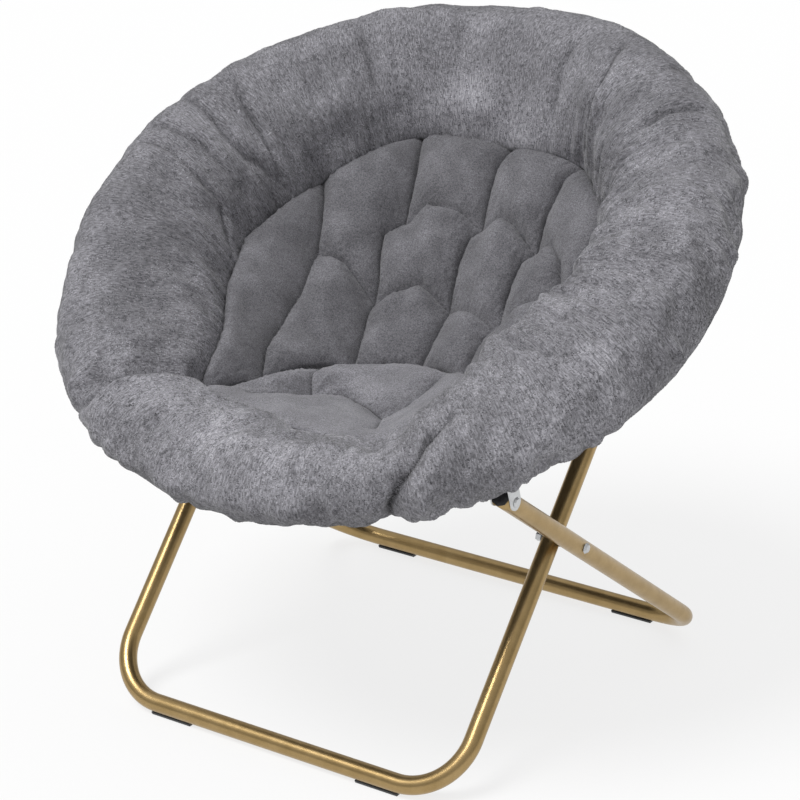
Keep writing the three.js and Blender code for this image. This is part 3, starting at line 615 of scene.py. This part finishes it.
def bowl_skin(x, v, share):
    """The bowl's height at a place, and its painted shading there: shade in the seams and dents, the
    seat lighter than the back.
    """
    across = x / SHARE_LENGTH
    back = v / SHARE_LENGTH
    edge = (1 - share) * SHARE_LENGTH
    behind, side, _ = line_distance(across, back, SEAT_BACK_SHARES)
    behind = behind * SHARE_LENGTH
    on_back = side > 0
    columns = nearest_line(across, back, COLUMN_SHARES)
    back_rise = puff(columns, *COLUMN_PUFF) * puff(behind, *BACK_FOOT_PUFF) * puff(edge, *BACK_EDGE_PUFF)
    rows = np.full(x.shape, np.inf)
    for line in ROW_SHARES:
        away, side, along = line_distance(across, back, line)
        away = away * SHARE_LENGTH
        inside = (along > 0) & (along < 1)
        beside = np.where(side > 0, puff(away, *ROW_UPPER_PUFF), puff(away, *ROW_LOWER_PUFF))
        back_rise = back_rise * np.where(inside, beside, 1)
        rows = np.minimum(rows, away)
    seat = nearest_line(across, back, SEAT_LINE_SHARES)
    seat_rise = puff(seat, *SEAT_LINE_PUFF) * puff(behind, *SEAT_BACK_PUFF) * puff(edge, *SEAT_EDGE_PUFF)
    tufts = np.min([np.hypot(across - tx, back - tv) for tx, tv in TUFT_SHARES], 0) * SHARE_LENGTH
    dent = 1 - TUFT_DENT * np.exp(-((tufts / TUFT_REACH) ** 2))
    rise = np.where(on_back, BACK_RISE * back_rise, SEAT_RISE * seat_rise) * dent
    flat = np.stack([x, v, 0 * x], -1)
    dents = BOWL_DENTS(flat)
    seams = np.minimum(np.minimum(np.where(on_back, columns, seat), behind), edge)
    nearest = np.where(on_back, np.minimum(seams, rows), seams)
    soft = BOWL_LUMP_HEIGHT * BOWL_LUMPS(flat) + BOWL_DENT_HEIGHT * dents
    soft = soft * smooth(0, BOWL_LUMP_EASE, nearest)
    pucker = BOWL_PUCKER_HEIGHT * ridged(BOWL_PUCKERS(flat)) * smooth(0, BOWL_PUCKER_EASE, nearest)
    pucker = pucker * np.exp(-nearest / BOWL_PUCKER_REACH)
    # painted shade in the seams, a little less in the rows
    shown = np.where(on_back, np.minimum(seams, rows + ROW_SEAM_RELIEF), seams)
    plush_shading = rise_from(BOWL_SEAM_SHADE_LEVEL, 0, BOWL_SEAM_WIDTH, shown)
    # painted shade in the dents, lighter on their rises
    back_shade = 1 + DENT_SHADE * dents * smooth(0, DENT_SHADE_EASE, nearest)
    # the seat painted lighter, less deep in the hollow's painted shade
    plush_shading = plush_shading * np.where(on_back, back_shade, SEAT_LESS_SHADE)
    return bowl_base(share) + rise + soft + pucker, plush_shading


def disc(steps):
    """A square grid bent into a unit disc, with even cells."""
    line = np.linspace(-1, 1, steps + 1)
    a, b = np.meshgrid(line, line, indexing="ij")
    wide = np.abs(a) > np.abs(b)
    radius = np.where(wide, a, b)
    ratio = np.where(wide, b / np.where(a == 0, 1, a), a / np.where(b == 0, 1, b))
    angle = np.where(wide, math.pi / 4 * ratio, math.pi / 2 - math.pi / 4 * ratio)
    return radius * np.cos(angle), radius * np.sin(angle)


def bowl_places(unit_x, unit_v):
    """Where a unit disc's points lie in the ring's plane: out to the seam, drawn forward within."""
    share = np.hypot(unit_x, unit_v)
    reach = seam_radius(np.arctan2(unit_x, unit_v)) + BOWL_TUCK
    return reach * unit_x, reach * unit_v + BOWL_LOWEST * np.clip(1 - share, 0, 1), share


def lining_place(share, angle):
    """Where the lining lies at a share of its dish's radius, in the ring's frame."""
    inside = np.clip(1 - share ** 2, 0, 1)
    beyond = np.clip(share - 1, 0, None) * SHARE_LENGTH
    x = SHARE_LENGTH * share * np.sin(angle)
    v = SHARE_LENGTH * share * np.cos(angle) + BOWL_LOWEST * np.clip(1 - share, 0, None)
    dish = (1 - LINING_CONE_SHARE) * inside ** BOWL_POWER + LINING_CONE_SHARE * inside
    return np.stack([x, v, LINING_EDGE - LINING_DEPTH * dish + LINING_SLOPE * beyond], -1)


# Meshes

def new_mesh(name, points, faces, material, uv):
    """A mesh object from points in metres and arrays of faces, with one UV pair for each corner."""
    mesh = bpy.data.meshes.new(name)
    points = np.asarray(points, np.float32).reshape(-1, 3)
    corners = np.concatenate([block.ravel() for block in faces]).astype(np.int32)
    sizes = np.concatenate([np.full(len(block), block.shape[1]) for block in faces])
    starts = np.concatenate([[0], np.cumsum(sizes)[:-1]]).astype(np.int32)
    mesh.vertices.add(len(points))
    mesh.vertices.foreach_set("co", points.ravel())
    mesh.loops.add(len(corners))
    mesh.loops.foreach_set("vertex_index", corners)
    mesh.polygons.add(len(starts))
    mesh.polygons.foreach_set("loop_start", starts)
    mesh.polygons.foreach_set("use_smooth", np.ones(len(starts), bool))
    layer = mesh.uv_layers.new(name="OFBake")
    layer.data.foreach_set("uv", np.asarray(uv, np.float32).ravel())
    mesh.materials.append(material)
    mesh.update(calc_edges=True)
    mesh.validate()
    thing = bpy.data.objects.new(name, mesh)
    bpy.context.scene.collection.objects.link(thing)
    return thing


def add_value(thing, name, values):
    """A value for each point of a mesh, that its material reads."""
    layer = thing.data.attributes.new(name, "FLOAT", "POINT")
    layer.data.foreach_set("value", np.asarray(values, np.float32).ravel())


def loop_faces(rows, columns, closed_rows=True):
    """Faces of a grid that closes on itself both ways, or along its columns only."""
    count = rows if closed_rows else rows - 1
    i, j = np.meshgrid(np.arange(count), np.arange(columns), indexing="ij")
    next_i, next_j = (i + 1) % rows, (j + 1) % columns
    corners = [i * columns + j, i * columns + next_j, next_i * columns + next_j, next_i * columns + j]
    uv = [(i, j), (i, j + 1), (i + 1, j + 1), (i + 1, j)]
    uv = np.stack([np.stack([a / rows, b / columns], -1) for a, b in uv], -2)
    return np.stack(corners, -1).reshape(-1, 4), uv.reshape(-1, 2)


def blend_over_fold(piece):
    """Bakes a piece's placement into its mesh."""
    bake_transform(piece)


# Materials

STREAK_COUNTS = (1300, 60, 1)
STREAK_BEND = (6, 0.4, 0)
STROKE_SCALE = 17
BLUE_TINT = 1.07


def node_material(name):
    """A new material, with its nodes, its links and its shader."""
    material = bpy.data.materials.new(name)
    material.use_nodes = True
    nodes = material.node_tree.nodes
    return material, nodes, material.node_tree.links, nodes["Principled BSDF"]


def set_inputs(node, values):
    """Constants on a node's sockets, by their names."""
    for name, value in values.items():
        node.inputs[name].default_value = value


def noise_node(nodes, links, vector, scale, detail=3, roughness=0.5):
    """Smooth noise at some places."""
    noise = nodes.new("ShaderNodeTexNoise")
    set_inputs(noise, {"Scale": scale, "Detail": detail, "Roughness": roughness})
    links.new(vector, noise.inputs["Vector"])
    return noise.outputs["Fac"]


def ramp_node(nodes, links, factor, low, high, start=0.3, end=0.7):
    """A colour between two, by a factor."""
    ramp = nodes.new("ShaderNodeValToRGB")
    for element, position, colour in zip(ramp.color_ramp.elements, (start, end), (low, high)):
        element.position = position
        element.color = (*colour, 1)
    links.new(factor, ramp.inputs["Fac"])
    return ramp.outputs["Color"]


def multiply_node(nodes, links, first, second):
    """One colour times another."""
    mix = nodes.new("ShaderNodeMix")
    mix.data_type = "RGBA"
    mix.blend_type = "MULTIPLY"
    mix.inputs["Factor"].default_value = 1
    links.new(first, mix.inputs["A"])
    links.new(second, mix.inputs["B"])
    return mix.outputs["Result"]


def add_bump(nodes, links, shader, height, strength, distance):
    """Fine relief in a shader's normal."""
    bump = nodes.new("ShaderNodeBump")
    set_inputs(bump, {"Strength": strength, "Distance": distance})
    links.new(height, bump.inputs["Height"])
    links.new(bump.outputs["Normal"], shader.inputs["Normal"])


def colour_by(nodes, links, shader, colour, attribute):
    """A shader's colour, times a value that the mesh carries."""
    value = nodes.new("ShaderNodeAttribute")
    value.attribute_name = attribute
    links.new(multiply_node(nodes, links, colour, value.outputs["Color"]), shader.inputs["Base Color"])


def grey(level, cool=BLUE_TINT):
    """A grey with a little more blue, and a fifth of that less green."""
    return (level, level * (1 - 0.2 * (cool - 1)), level * cool)


def streaked_place(nodes, links, place):
    """Places on the rim in streak widths and lengths, bent where the pile swirls."""
    uv = nodes.new("ShaderNodeUVMap")
    uv.uv_map = "OFBake"
    scaled = nodes.new("ShaderNodeVectorMath")
    scaled.operation = "MULTIPLY"
    scaled.inputs[1].default_value = STREAK_COUNTS
    links.new(uv.outputs["UV"], scaled.inputs[0])
    bend = nodes.new("ShaderNodeTexNoise")
    set_inputs(bend, {"Scale": 14, "Detail": 2})
    links.new(place, bend.inputs["Vector"])
    added = nodes.new("ShaderNodeVectorMath")
    added.operation = "MULTIPLY_ADD"
    added.inputs[1].default_value = STREAK_BEND
    links.new(bend.outputs["Color"], added.inputs[0])
    links.new(scaled.outputs["Vector"], added.inputs[2])
    return added.outputs["Vector"]


def plush_material(name, dark, light, attribute, streaked=False):
    """Brushed plush: fine pile, soft patches where it is stroked, and painted shade down in its seams
    and folds, from a value the mesh carries.
    """
    material, nodes, links, shader = node_material(name)
    set_inputs(shader, {
        "Roughness": 0.92,
        "Sheen Weight": 0.22,
        "Sheen Roughness": 0.45,
        "Specular IOR Level": 0.08,
    })
    place = nodes.new("ShaderNodeTexCoord").outputs["Object"]
    if streaked:
        place_in_streaks = streaked_place(nodes, links, place)
        grain = noise_node(nodes, links, place_in_streaks, scale=1, roughness=0.6)
    else:
        grain = noise_node(nodes, links, place, scale=620, detail=4, roughness=0.7)
    fine = ramp_node(nodes, links, grain, grey(dark), grey(light), 0.36, 0.64)
    patches = noise_node(nodes, links, place, scale=STROKE_SCALE, roughness=0.6)
    patches = ramp_node(nodes, links, patches, grey(0.84, 1), grey(1.1, 1), 0.4, 0.62)
    # colour times the mesh's painted shading
    colour_by(nodes, links, shader, multiply_node(nodes, links, fine, patches), attribute)
    add_bump(nodes, links, shader, grain, strength=0.85, distance=0.0018)
    return material


def pile_material(name, dark, light, attribute):
    """Strands of pile: soft patches where they are stroked, and their tone from root to tip, with
    painted shade at the root and the rim's painted shading.
    """
    material, nodes, links, shader = node_material(name)
    set_inputs(shader, {
        "Roughness": 0.85,
        "Sheen Weight": 0.25,
        "Sheen Roughness": 0.45,
        "Specular IOR Level": 0.1,
    })
    place = nodes.new("ShaderNodeTexCoord").outputs["Object"]
    patches = noise_node(nodes, links, place, scale=STROKE_SCALE, roughness=0.6)
    patches = ramp_node(nodes, links, patches, grey(dark), grey(light), 0.4, 0.62)
    # colour times each strand's tone and painted shade
    colour_by(nodes, links, shader, patches, attribute)
    return material


def cloth_material(name):
    """Plain woven lining, with its threads as fine bands both ways."""
    material, nodes, links, shader = node_material(name)
    set_inputs(shader, {"Roughness": 0.88, "Sheen Weight": 0.1})
    place = nodes.new("ShaderNodeTexCoord").outputs["Object"]
    patches = noise_node(nodes, links, place, scale=30, detail=4)
    patches = ramp_node(nodes, links, patches, grey(0.06), grey(0.085))
    links.new(patches, shader.inputs["Base Color"])
    threads = []
    for direction in ("X", "Y"):
        wave = nodes.new("ShaderNodeTexWave")
        wave.bands_direction = direction
        set_inputs(wave, {"Scale": 260, "Distortion": 0.6})
        links.new(place, wave.inputs["Vector"])
        threads.append(wave.outputs["Fac"])
    weave = nodes.new("ShaderNodeMath")
    weave.operation = "MULTIPLY"
    links.new(threads[0], weave.inputs[0])
    links.new(threads[1], weave.inputs[1])
    add_bump(nodes, links, shader, weave.outputs[0], strength=0.5, distance=0.0006)
    return material


def metal_material(name, dark, light, roughness=0.3, metallic=0.95, grain=900.0):
    """Painted metal, plating or plastic: slight clouding in its colour, and a fine grain."""
    material, nodes, links, shader = node_material(name)
    shader.inputs["Metallic"].default_value = metallic
    place = nodes.new("ShaderNodeTexCoord").outputs["Object"]
    cloud = noise_node(nodes, links, place, scale=45, detail=5, roughness=0.6)
    cloud = ramp_node(nodes, links, cloud, dark, light, 0.35, 0.65)
    fine = noise_node(nodes, links, place, scale=grain, detail=2)
    speckle = ramp_node(nodes, links, fine, grey(0.93, 1), grey(1.04, 1))
    links.new(multiply_node(nodes, links, cloud, speckle), shader.inputs["Base Color"])
    rough = nodes.new("ShaderNodeMapRange")
    set_inputs(rough, {"To Min": roughness - 0.05, "To Max": roughness + 0.06})
    links.new(noise_node(nodes, links, place, scale=120, detail=4), rough.inputs["Value"])
    links.new(rough.outputs["Result"], shader.inputs["Roughness"])
    add_bump(nodes, links, shader, fine, strength=0.2, distance=0.00008)
    return material


plush = plush_material("plush", 0.115, 0.325, "shading", streaked=True)
# The bowl's plush is painted darker than the rim's, as shade in its hollow
plush_bowl = plush_material("plush_bowl", 0.093, 0.243, "shading")
pile = pile_material("plush_pile", 0.235, 0.345, "tip")
lining_cloth = cloth_material("lining_cloth")
gold = metal_material("gold_tube", (0.365, 0.252, 0.11), (0.425, 0.3, 0.14))
zinc = metal_material("zinc_steel", (0.52, 0.53, 0.54), (0.62, 0.63, 0.64))
plastic = metal_material(
    "black_plastic", (0.010, 0.010, 0.011), (0.017, 0.017, 0.018),
    roughness=0.5, metallic=0.0, grain=1400.0,
)


# Soft goods

def make_rim():
    """The rim's cover in one piece; its grid is returned for the pile."""
    points, run, plush_shading = rim_grid()
    faces, uv = loop_faces(*RIM_STEPS)
    rim = new_mesh("seat_rim_cover", points, [faces], plush, uv)
    # painted shading of the rim, read by the plush's colour
    add_value(rim, "shading", plush_shading)
    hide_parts("seat_rim_front", "seat_rim_rear")
    blend_over_fold(rim)
    return points, run, plush_shading


def on_grid(values, i, j):
    """Values of a closed grid between its points."""
    rows, columns = values.shape[:2]
    low_i, low_j = np.floor(i).astype(int), np.floor(j).astype(int)
    share_i, share_j = i - low_i, j - low_j
    if values.ndim == 3:
        share_i, share_j = share_i[:, None], share_j[:, None]
    next_i, next_j = (low_i + 1) % rows, (low_j + 1) % columns
    low_i, low_j = low_i % rows, low_j % columns
    first = values[low_i, low_j] * (1 - share_j) + values[low_i, next_j] * share_j
    second = values[next_i, low_j] * (1 - share_j) + values[next_i, next_j] * share_j
    return first * (1 - share_i) + second * share_i


CLUMPS = [Waves(31 + k, 10) for k in range(3)]
SWIRLS = [Waves(41 + k, 75) for k in range(3)]
TONES = Waves(47, 6)
TUFT_TONES = Waves(48, 17)

# Tones of the strands: how much each noise counts, their limits, the least share of the rim's painted
# shading, and the shares at root and tip, the root darker as painted shade down in the pile
TONE_SHARE = 0.12
TUFT_TONE_SHARE = 0.03
SHAG_TONE_SHARE = 0.15
STRAY_TONE_SHARE = 0.34
TONE_LIMITS = (0.35, 1.9)
LEAST_SHADE = 0.35
ROOT_SHADE = 0.72
TIP_TONE = 1.08

# A strand's three sides and its foot, by corner: two at the sides, one above and the tip
SPIKE_FACES = [(1, 0, 3), (2, 1, 3), (0, 2, 3), (0, 1, 2)]
SPIKE_SPOTS = [(0.2, 0.2), (0.8, 0.2), (0.5, 0.2), (0.5, 0.85)]


def strand_places(sector, points, random):
    """Grid places of one sector's strands, closer together where it is shaggy, and how shaggy."""
    tries = PILE_TRIES * PILE_STRANDS
    i = (sector + random.uniform(0, 1, tries)) * RIM_STEPS[0] / PILE_SECTORS
    j = random.uniform(*PILE_RUN_SHARES, tries) * RIM_STEPS[1]
    shag = around_ring(i / RIM_STEPS[0] * 2 * math.pi, SHAG_SHARES)
    radius = np.hypot(*(on_grid(points, i, j)[:, :2] / MM).T)
    wanted = (PILE_THINNEST + (1 - PILE_THINNEST) * shag) * radius / PILE_OUTER_RADIUS
    kept = np.nonzero(random.uniform(0, 1, tries) < wanted)[0][:PILE_STRANDS]
    return i[kept], j[kept], shag[kept]


def strand_headings(root, out, comb, shag, random):
    """Which way the strands point: combed along the skin, drawn into clumps, and leaning out."""
    clump = np.stack([wave(root / MM) for wave in CLUMPS], -1)
    swirl = np.stack([wave(root / MM) for wave in SWIRLS], -1)
    lie = comb + CLUMP_SHARE * clump + SWIRL_SHARE * swirl
    lie = lie + STRAY_SHARE * random.normal(size=root.shape)
    lie = unit(lie - out * (lie * out).sum(1)[:, None])
    lean = np.radians(random.uniform(*PILE_LEAN, len(root)) + SHAG_LEAN * shag)[:, None]
    return lie * np.cos(lean) + out * np.sin(lean)


def make_spikes(name, root, out, heading, size, wide):
    """Slim closed spikes in one mesh, each in its own cell of the UV square, with soft normals."""
    count = len(root)
    side = unit(np.cross(heading, out))
    up = np.cross(side, heading)
    foot = root - out * PILE_ROOT_DEPTH * MM
    half = wide[:, None] * MM * 0.5
    tip = root + heading * size[:, None] * MM
    corners = np.stack([foot + side * half, foot - side * half, foot + up * half, tip], 1)
    faces = (4 * np.arange(count)[:, None, None] + np.array(SPIKE_FACES)).reshape(-1, 3)
    cell = np.stack([np.arange(count) % PILE_CELLS, np.arange(count) // PILE_CELLS], -1)
    uv = (cell[:, None] + np.array(SPIKE_SPOTS)[np.ravel(SPIKE_FACES)]) / PILE_CELLS
    piece = new_mesh(name, corners, [faces], pile, uv)
    normals = [out + 0.5 * side, out - 0.5 * side, out + 0.2 * up, out + 0.25 * heading]
    piece.data.normals_split_custom_set_from_vertices(unit(np.stack(normals, 1)).reshape(-1, 3))
    return piece


def make_pile(points, run, plush_shading):
    """The rim's pile of leaning strands, in sectors round the ring."""
    normal = grid_normals(points)
    comb = combed(points)
    for sector in range(PILE_SECTORS):
        random = np.random.default_rng(PILE_SEED + sector)
        i, j, shag = strand_places(sector, points, random)
        root = on_grid(points, i, j)
        out = unit(on_grid(normal, i, j))
        heading = strand_headings(root, out, on_grid(comb, i, j), shag, random)
        size = (PILE_LENGTH + SHAG_LENGTH * shag) * random.uniform(*PILE_LENGTH_SPREAD, len(root))
        size *= rise_from(PILE_SEAM_SHARE, *PILE_SEAM_RUN, on_grid(run, i, j))
        wide = PILE_WIDTH + SHAG_WIDTH * shag
        piece = make_spikes(f"seat_rim_pile_{sector + 1}", root, out, heading, size, wide)
        tone = 1 + TONE_SHARE * TONES(root / MM)
        tone += (TUFT_TONE_SHARE + SHAG_TONE_SHARE * shag) * TUFT_TONES(root / MM)
        tone += STRAY_TONE_SHARE * random.normal(size=len(root))
        # the rim's painted shading, carried onto the strands
        tone = np.clip(tone, *TONE_LIMITS) * (LEAST_SHADE + (1 - LEAST_SHADE) * on_grid(plush_shading, i, j))
        # painted shade at each strand's root, lighter at its tip
        add_value(piece, "tip", np.stack([ROOT_SHADE * tone] * 3 + [TIP_TONE * tone], 1))
        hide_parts("seat_rim_front", "seat_rim_rear")
        blend_over_fold(piece)


def make_bowl():
    """The tufted bowl, closed underneath by rings that lie just above the lining."""
    unit_x, unit_v = disc(BOWL_STEPS)
    x, v, share = bowl_places(unit_x, unit_v)
    height, plush_shading = bowl_skin(x, v, share)
    count = BOWL_STEPS + 1
    index = np.arange(count ** 2).reshape(count, count)
    blocks = [index[:-1, :-1], index[1:, :-1], index[1:, 1:], index[:-1, 1:]]
    faces = [np.stack(blocks, -1).reshape(-1, 4)]
    points = [np.stack([x, v, height], -1).reshape(-1, 3)]
    last = np.concatenate([index[0, :-1], index[:-1, -1], index[-1, :0:-1], index[:0:-1, 0]])
    turn = np.arctan2(unit_x.ravel()[last], unit_v.ravel()[last])
    edge_share = np.minimum(seam_radius(turn) / SHARE_LENGTH, UNDER_REACH_SHARE)
    total = count ** 2
    for ring in range(1, UNDER_RINGS):
        points.append(lining_place((1 - ring / UNDER_RINGS) * edge_share, turn) + (0, 0, UNDER_GAP))
        following = np.arange(total, total + len(turn))
        faces.append(np.stack([last, np.roll(last, -1), np.roll(following, -1), following], -1))
        last = following
        total += len(turn)
    points.append(np.array([lining_place(0.0, 0.0) + (0, 0, UNDER_GAP)]))
    faces.append(np.stack([last, np.roll(last, -1), np.full(len(last), total)], -1))
    points = np.vstack(points)
    corners = np.concatenate([block.ravel() for block in faces])
    uv = (points[:, :2] / BOWL_UV_SPAN + 0.5)[corners]
    uv[faces[0].size:] *= UNDER_UV_SHARE
    bowl = new_mesh("seat_bowl_cover", ring_to_world(points), faces, plush_bowl, uv)
    # painted shading of the bowl; none underneath
    add_value(bowl, "shading", np.concatenate([plush_shading.ravel(), np.ones(len(points) - count ** 2)]))
    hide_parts("seat_pad_front", "seat_pad_rear")
    blend_over_fold(bowl)


def make_lining():
    """The plain cloth under the bowl and the rim's underside, a thin closed dish."""
    shares = np.linspace(LINING_MIDDLE_SHARE, LINING_RADIUS / SHARE_LENGTH, LINING_RINGS)
    turn = np.linspace(0, 2 * math.pi, LINING_STEPS, endpoint=False)
    share, angle = np.meshgrid(shares, turn, indexing="ij")
    top = lining_place(share, angle).reshape(-1, 3)
    bottom = top - (0, 0, LINING_THICKNESS)
    grid = np.arange(len(top)).reshape(LINING_RINGS, LINING_STEPS)
    inner, outer = grid[:-1], grid[1:]
    upper = np.stack([inner, np.roll(inner, -1, 1), np.roll(outer, -1, 1), outer], -1).reshape(-1, 4)
    count = len(top)
    rim, beside = grid[-1], np.roll(grid[-1], -1)
    side = np.stack([rim, beside, beside + count, rim + count], -1)
    middle = np.array([[0, BOWL_LOWEST, top[0, 2]], [0, BOWL_LOWEST, bottom[0, 2]]])
    points = np.vstack([top, bottom, middle])
    first = grid[0]
    following = np.roll(first, -1)
    cap_top = np.stack([following, first, np.full(LINING_STEPS, 2 * count)], -1)
    cap_low = np.stack([first + count, following + count, np.full(LINING_STEPS, 2 * count + 1)], -1)
    faces = [upper, upper[:, ::-1] + count, side, cap_top, cap_low]
    corners = np.concatenate([block.ravel() for block in faces])
    uv = (points[:, :2] / LINING_UV_SPAN + 0.5)[corners] * 0.5
    uv[upper.size:2 * upper.size] += 0.5
    lining = new_mesh("seat_lining_cloth", ring_to_world(points), faces, lining_cloth, uv)
    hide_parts("seat_lining_front", "seat_lining_rear")
    blend_over_fold(lining)


rim_parts = make_rim()
make_pile(*rim_parts)
make_bowl()
make_lining()


# Legs and fittings

def to_chair(v, h):
    """A point of the ring's middle plane, as (y, z) in millimetres."""
    return ring_to_world((0, v, h))[1:] / MM


def leg_line(half_width, foot_y, pivot):
    """A leg frame's half width, its foot, and the length and heading from there to its pivot."""
    run, rise = pivot[0] - foot_y, pivot[1] - FOOT_HEIGHT
    length = math.hypot(run, rise)
    return half_width, foot_y, length, (run / length, rise / length)


FRONT_PIVOT_V = -math.sqrt(HOOP_RADIUS ** 2 - REAR_LEG_HALF_WIDTH ** 2) - FRONT_PIVOT_LEAD
REAR_PIVOT_V = math.sqrt(HOOP_RADIUS ** 2 - FRONT_LEG_HALF_WIDTH ** 2)
FRONT_LEG = leg_line(FRONT_LEG_HALF_WIDTH, FRONT_FOOT_Y, to_chair(REAR_PIVOT_V, -PIVOT_DROP))
REAR_LEG = leg_line(REAR_LEG_HALF_WIDTH, REAR_FOOT_Y, to_chair(FRONT_PIVOT_V, -PIVOT_DROP))


def leg_points(leg):
    """The middle line of a leg frame's U of tube, in the row frame in millimetres."""
    half_width, foot_y, length, (run, rise) = leg
    top = length + LEG_OVERHANG
    corner = half_width - FOOT_BEND_RADIUS
    run_places = np.linspace(top, FOOT_BEND_RADIUS, LEG_RUN_STEPS, endpoint=False)
    plan = [(-half_width, along) for along in run_places]
    for side, first in ((-1, math.pi), (1, 1.5 * math.pi)):
        for angle in first + np.linspace(0, math.pi / 2, BEND_STEPS + 1):
            x = side * corner + FOOT_BEND_RADIUS * math.cos(angle)
            plan.append((x, FOOT_BEND_RADIUS * (1 + math.sin(angle))))
    plan += [(half_width, along) for along in run_places[::-1]]
    return np.array([(x, foot_y + along * run, FOOT_HEIGHT + along * rise) for x, along in plan])


def make_tube(name, line, radius, material):
    """A closed round tube along a line of points in millimetres."""
    ahead = unit(np.gradient(line, axis=0))
    plane = unit(np.cross(line[0] - line[-1], line[len(line) // 2] - line[0]))
    sideways = unit(np.cross(ahead, plane))
    angle = np.linspace(0, 2 * math.pi, TUBE_SIDES, endpoint=False)[None, :, None]
    points = line[:, None] + radius * (np.cos(angle) * sideways[:, None] + np.sin(angle) * plane)
    rows = len(line)
    faces, uv = loop_faces(rows, TUBE_SIDES, closed_rows=False)
    body = points.reshape(-1, 3)
    ends = np.array([line[0], line[-1]])
    first = np.arange(TUBE_SIDES)
    last = first + (rows - 1) * TUBE_SIDES
    cap = np.stack([np.roll(first, -1), first, np.full(TUBE_SIDES, len(body))], -1)
    far = np.stack([last, np.roll(last, -1), np.full(TUBE_SIDES, len(body) + 1)], -1)
    caps_uv = np.zeros((6 * TUBE_SIDES, 2))
    points = np.vstack([body, ends]) * MM
    return new_mesh(name, points, [faces, cap, far], material, np.vstack([uv, caps_uv]))


def make_legs():
    for name, leg in (("front", FRONT_LEG), ("rear", REAR_LEG)):
        tube = make_tube(f"{name}_leg_tube", leg_points(leg), LEG_RADIUS, gold)
        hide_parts(f"{name}_leg_frame")
        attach(tube, f"{name}_legs")


def finish_of(name):
    """The finish of a node that stays shown, by its name."""
    if "hoop" in name and "cap" not in name:
        return gold
    if "plug" in name or "glide" in name or "cap" in name or "spacer" in name:
        return plastic
    return zinc


def dress_nodes():
    """Every node that stays shown gets its finish."""
    for name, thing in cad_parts.items():
        if thing.hide_render:
            continue
        thing.data.materials.clear()
        thing.data.materials.append(finish_of(name))


make_legs()
dress_nodes()


# Studio

WORLD_STRENGTH = 0.8
WORLD_BELOW = 0.42
FLOOR_SIZE = 60
FLOOR_GREY = 0.78
FLOOR_WHITE_SHARE = 0.78


def make_floor():
    """A pale floor that shows partly as plain white, so that it meets the background."""
    bpy.ops.mesh.primitive_plane_add(size=FLOOR_SIZE, location=(0, 0, 0))
    floor = bpy.context.object
    floor.name = "studio_floor"
    material, nodes, links, shader = node_material("studio_floor")
    set_inputs(shader, {
        "Base Color": (*grey(FLOOR_GREY, 1), 1),
        "Roughness": 0.95,
        "Specular IOR Level": 0.0,
    })
    path = nodes.new("ShaderNodeLightPath")
    seen = nodes.new("ShaderNodeMath")
    seen.operation = "MAXIMUM"
    links.new(path.outputs["Is Camera Ray"], seen.inputs[0])
    links.new(path.outputs["Is Glossy Ray"], seen.inputs[1])
    share = nodes.new("ShaderNodeMath")
    share.operation = "MULTIPLY"
    share.inputs[1].default_value = FLOOR_WHITE_SHARE
    links.new(seen.outputs[0], share.inputs[0])
    white = nodes.new("ShaderNodeEmission")
    mix = nodes.new("ShaderNodeMixShader")
    links.new(share.outputs[0], mix.inputs["Fac"])
    links.new(shader.outputs["BSDF"], mix.inputs[1])
    links.new(white.outputs["Emission"], mix.inputs[2])
    links.new(mix.outputs["Shader"], nodes["Material Output"].inputs["Surface"])
    floor.data.materials.append(material)


def make_world():
    """Soft light from all round, white above and greyer from below."""
    world = bpy.data.worlds.new("studio")
    bpy.context.scene.world = world
    world.use_nodes = True
    nodes, links = world.node_tree.nodes, world.node_tree.links
    place = nodes.new("ShaderNodeTexCoord")
    split = nodes.new("ShaderNodeSeparateXYZ")
    links.new(place.outputs["Generated"], split.inputs["Vector"])
    colour = ramp_node(nodes, links, split.outputs["Z"], grey(WORLD_BELOW, 1), grey(1, 1), 0.0, 0.9)
    links.new(colour, nodes["Background"].inputs["Color"])
    nodes["Background"].inputs["Strength"].default_value = WORLD_STRENGTH


def add_sun(name, azimuth, elevation, strength, angle):
    """A wide sun, from an azimuth and an elevation counted as the camera's are."""
    lamp = bpy.data.lights.new(name, "SUN")
    lamp.energy = strength
    lamp.angle = math.radians(angle)
    thing = bpy.data.objects.new(name, lamp)
    bpy.context.scene.collection.objects.link(thing)
    a, e = math.radians(azimuth), math.radians(elevation)
    towards = Vector((math.sin(a) * math.cos(e), -math.cos(a) * math.cos(e), math.sin(e)))
    thing.rotation_euler = towards.to_track_quat("Z", "Y").to_euler()


def make_camera():
    """The camera, at the photograph's angle."""
    azimuth, elevation = math.radians(CAMERA_AZIMUTH), math.radians(CAMERA_ELEVATION)
    right = Vector((math.cos(azimuth), math.sin(azimuth), 0))
    back = Vector((
        math.sin(azimuth) * math.cos(elevation),
        -math.cos(azimuth) * math.cos(elevation),
        math.sin(elevation),
    ))
    target = Vector((0, CAMERA_TARGET_Y, CAMERA_HEIGHT)) + right * CAMERA_SIDE
    data = bpy.data.cameras.new("camera")
    data.sensor_width = SENSOR_WIDTH
    data.lens = FOCAL_PIXELS / IMAGE_SIZE * SENSOR_WIDTH
    data.clip_end = CAMERA_REACH
    camera = bpy.data.objects.new("camera", data)
    bpy.context.scene.collection.objects.link(camera)
    camera.matrix_world = Matrix.LocRotScale(
        target + back * CAMERA_DISTANCE, back.to_track_quat("Z", "Y"), None,
    )
    bpy.context.scene.camera = camera


make_floor()
make_world()
add_sun("key_lamp", azimuth=-22, elevation=60, strength=2.1, angle=24)
make_camera()
bpy.context.scene.view_settings.view_transform = "Standard"
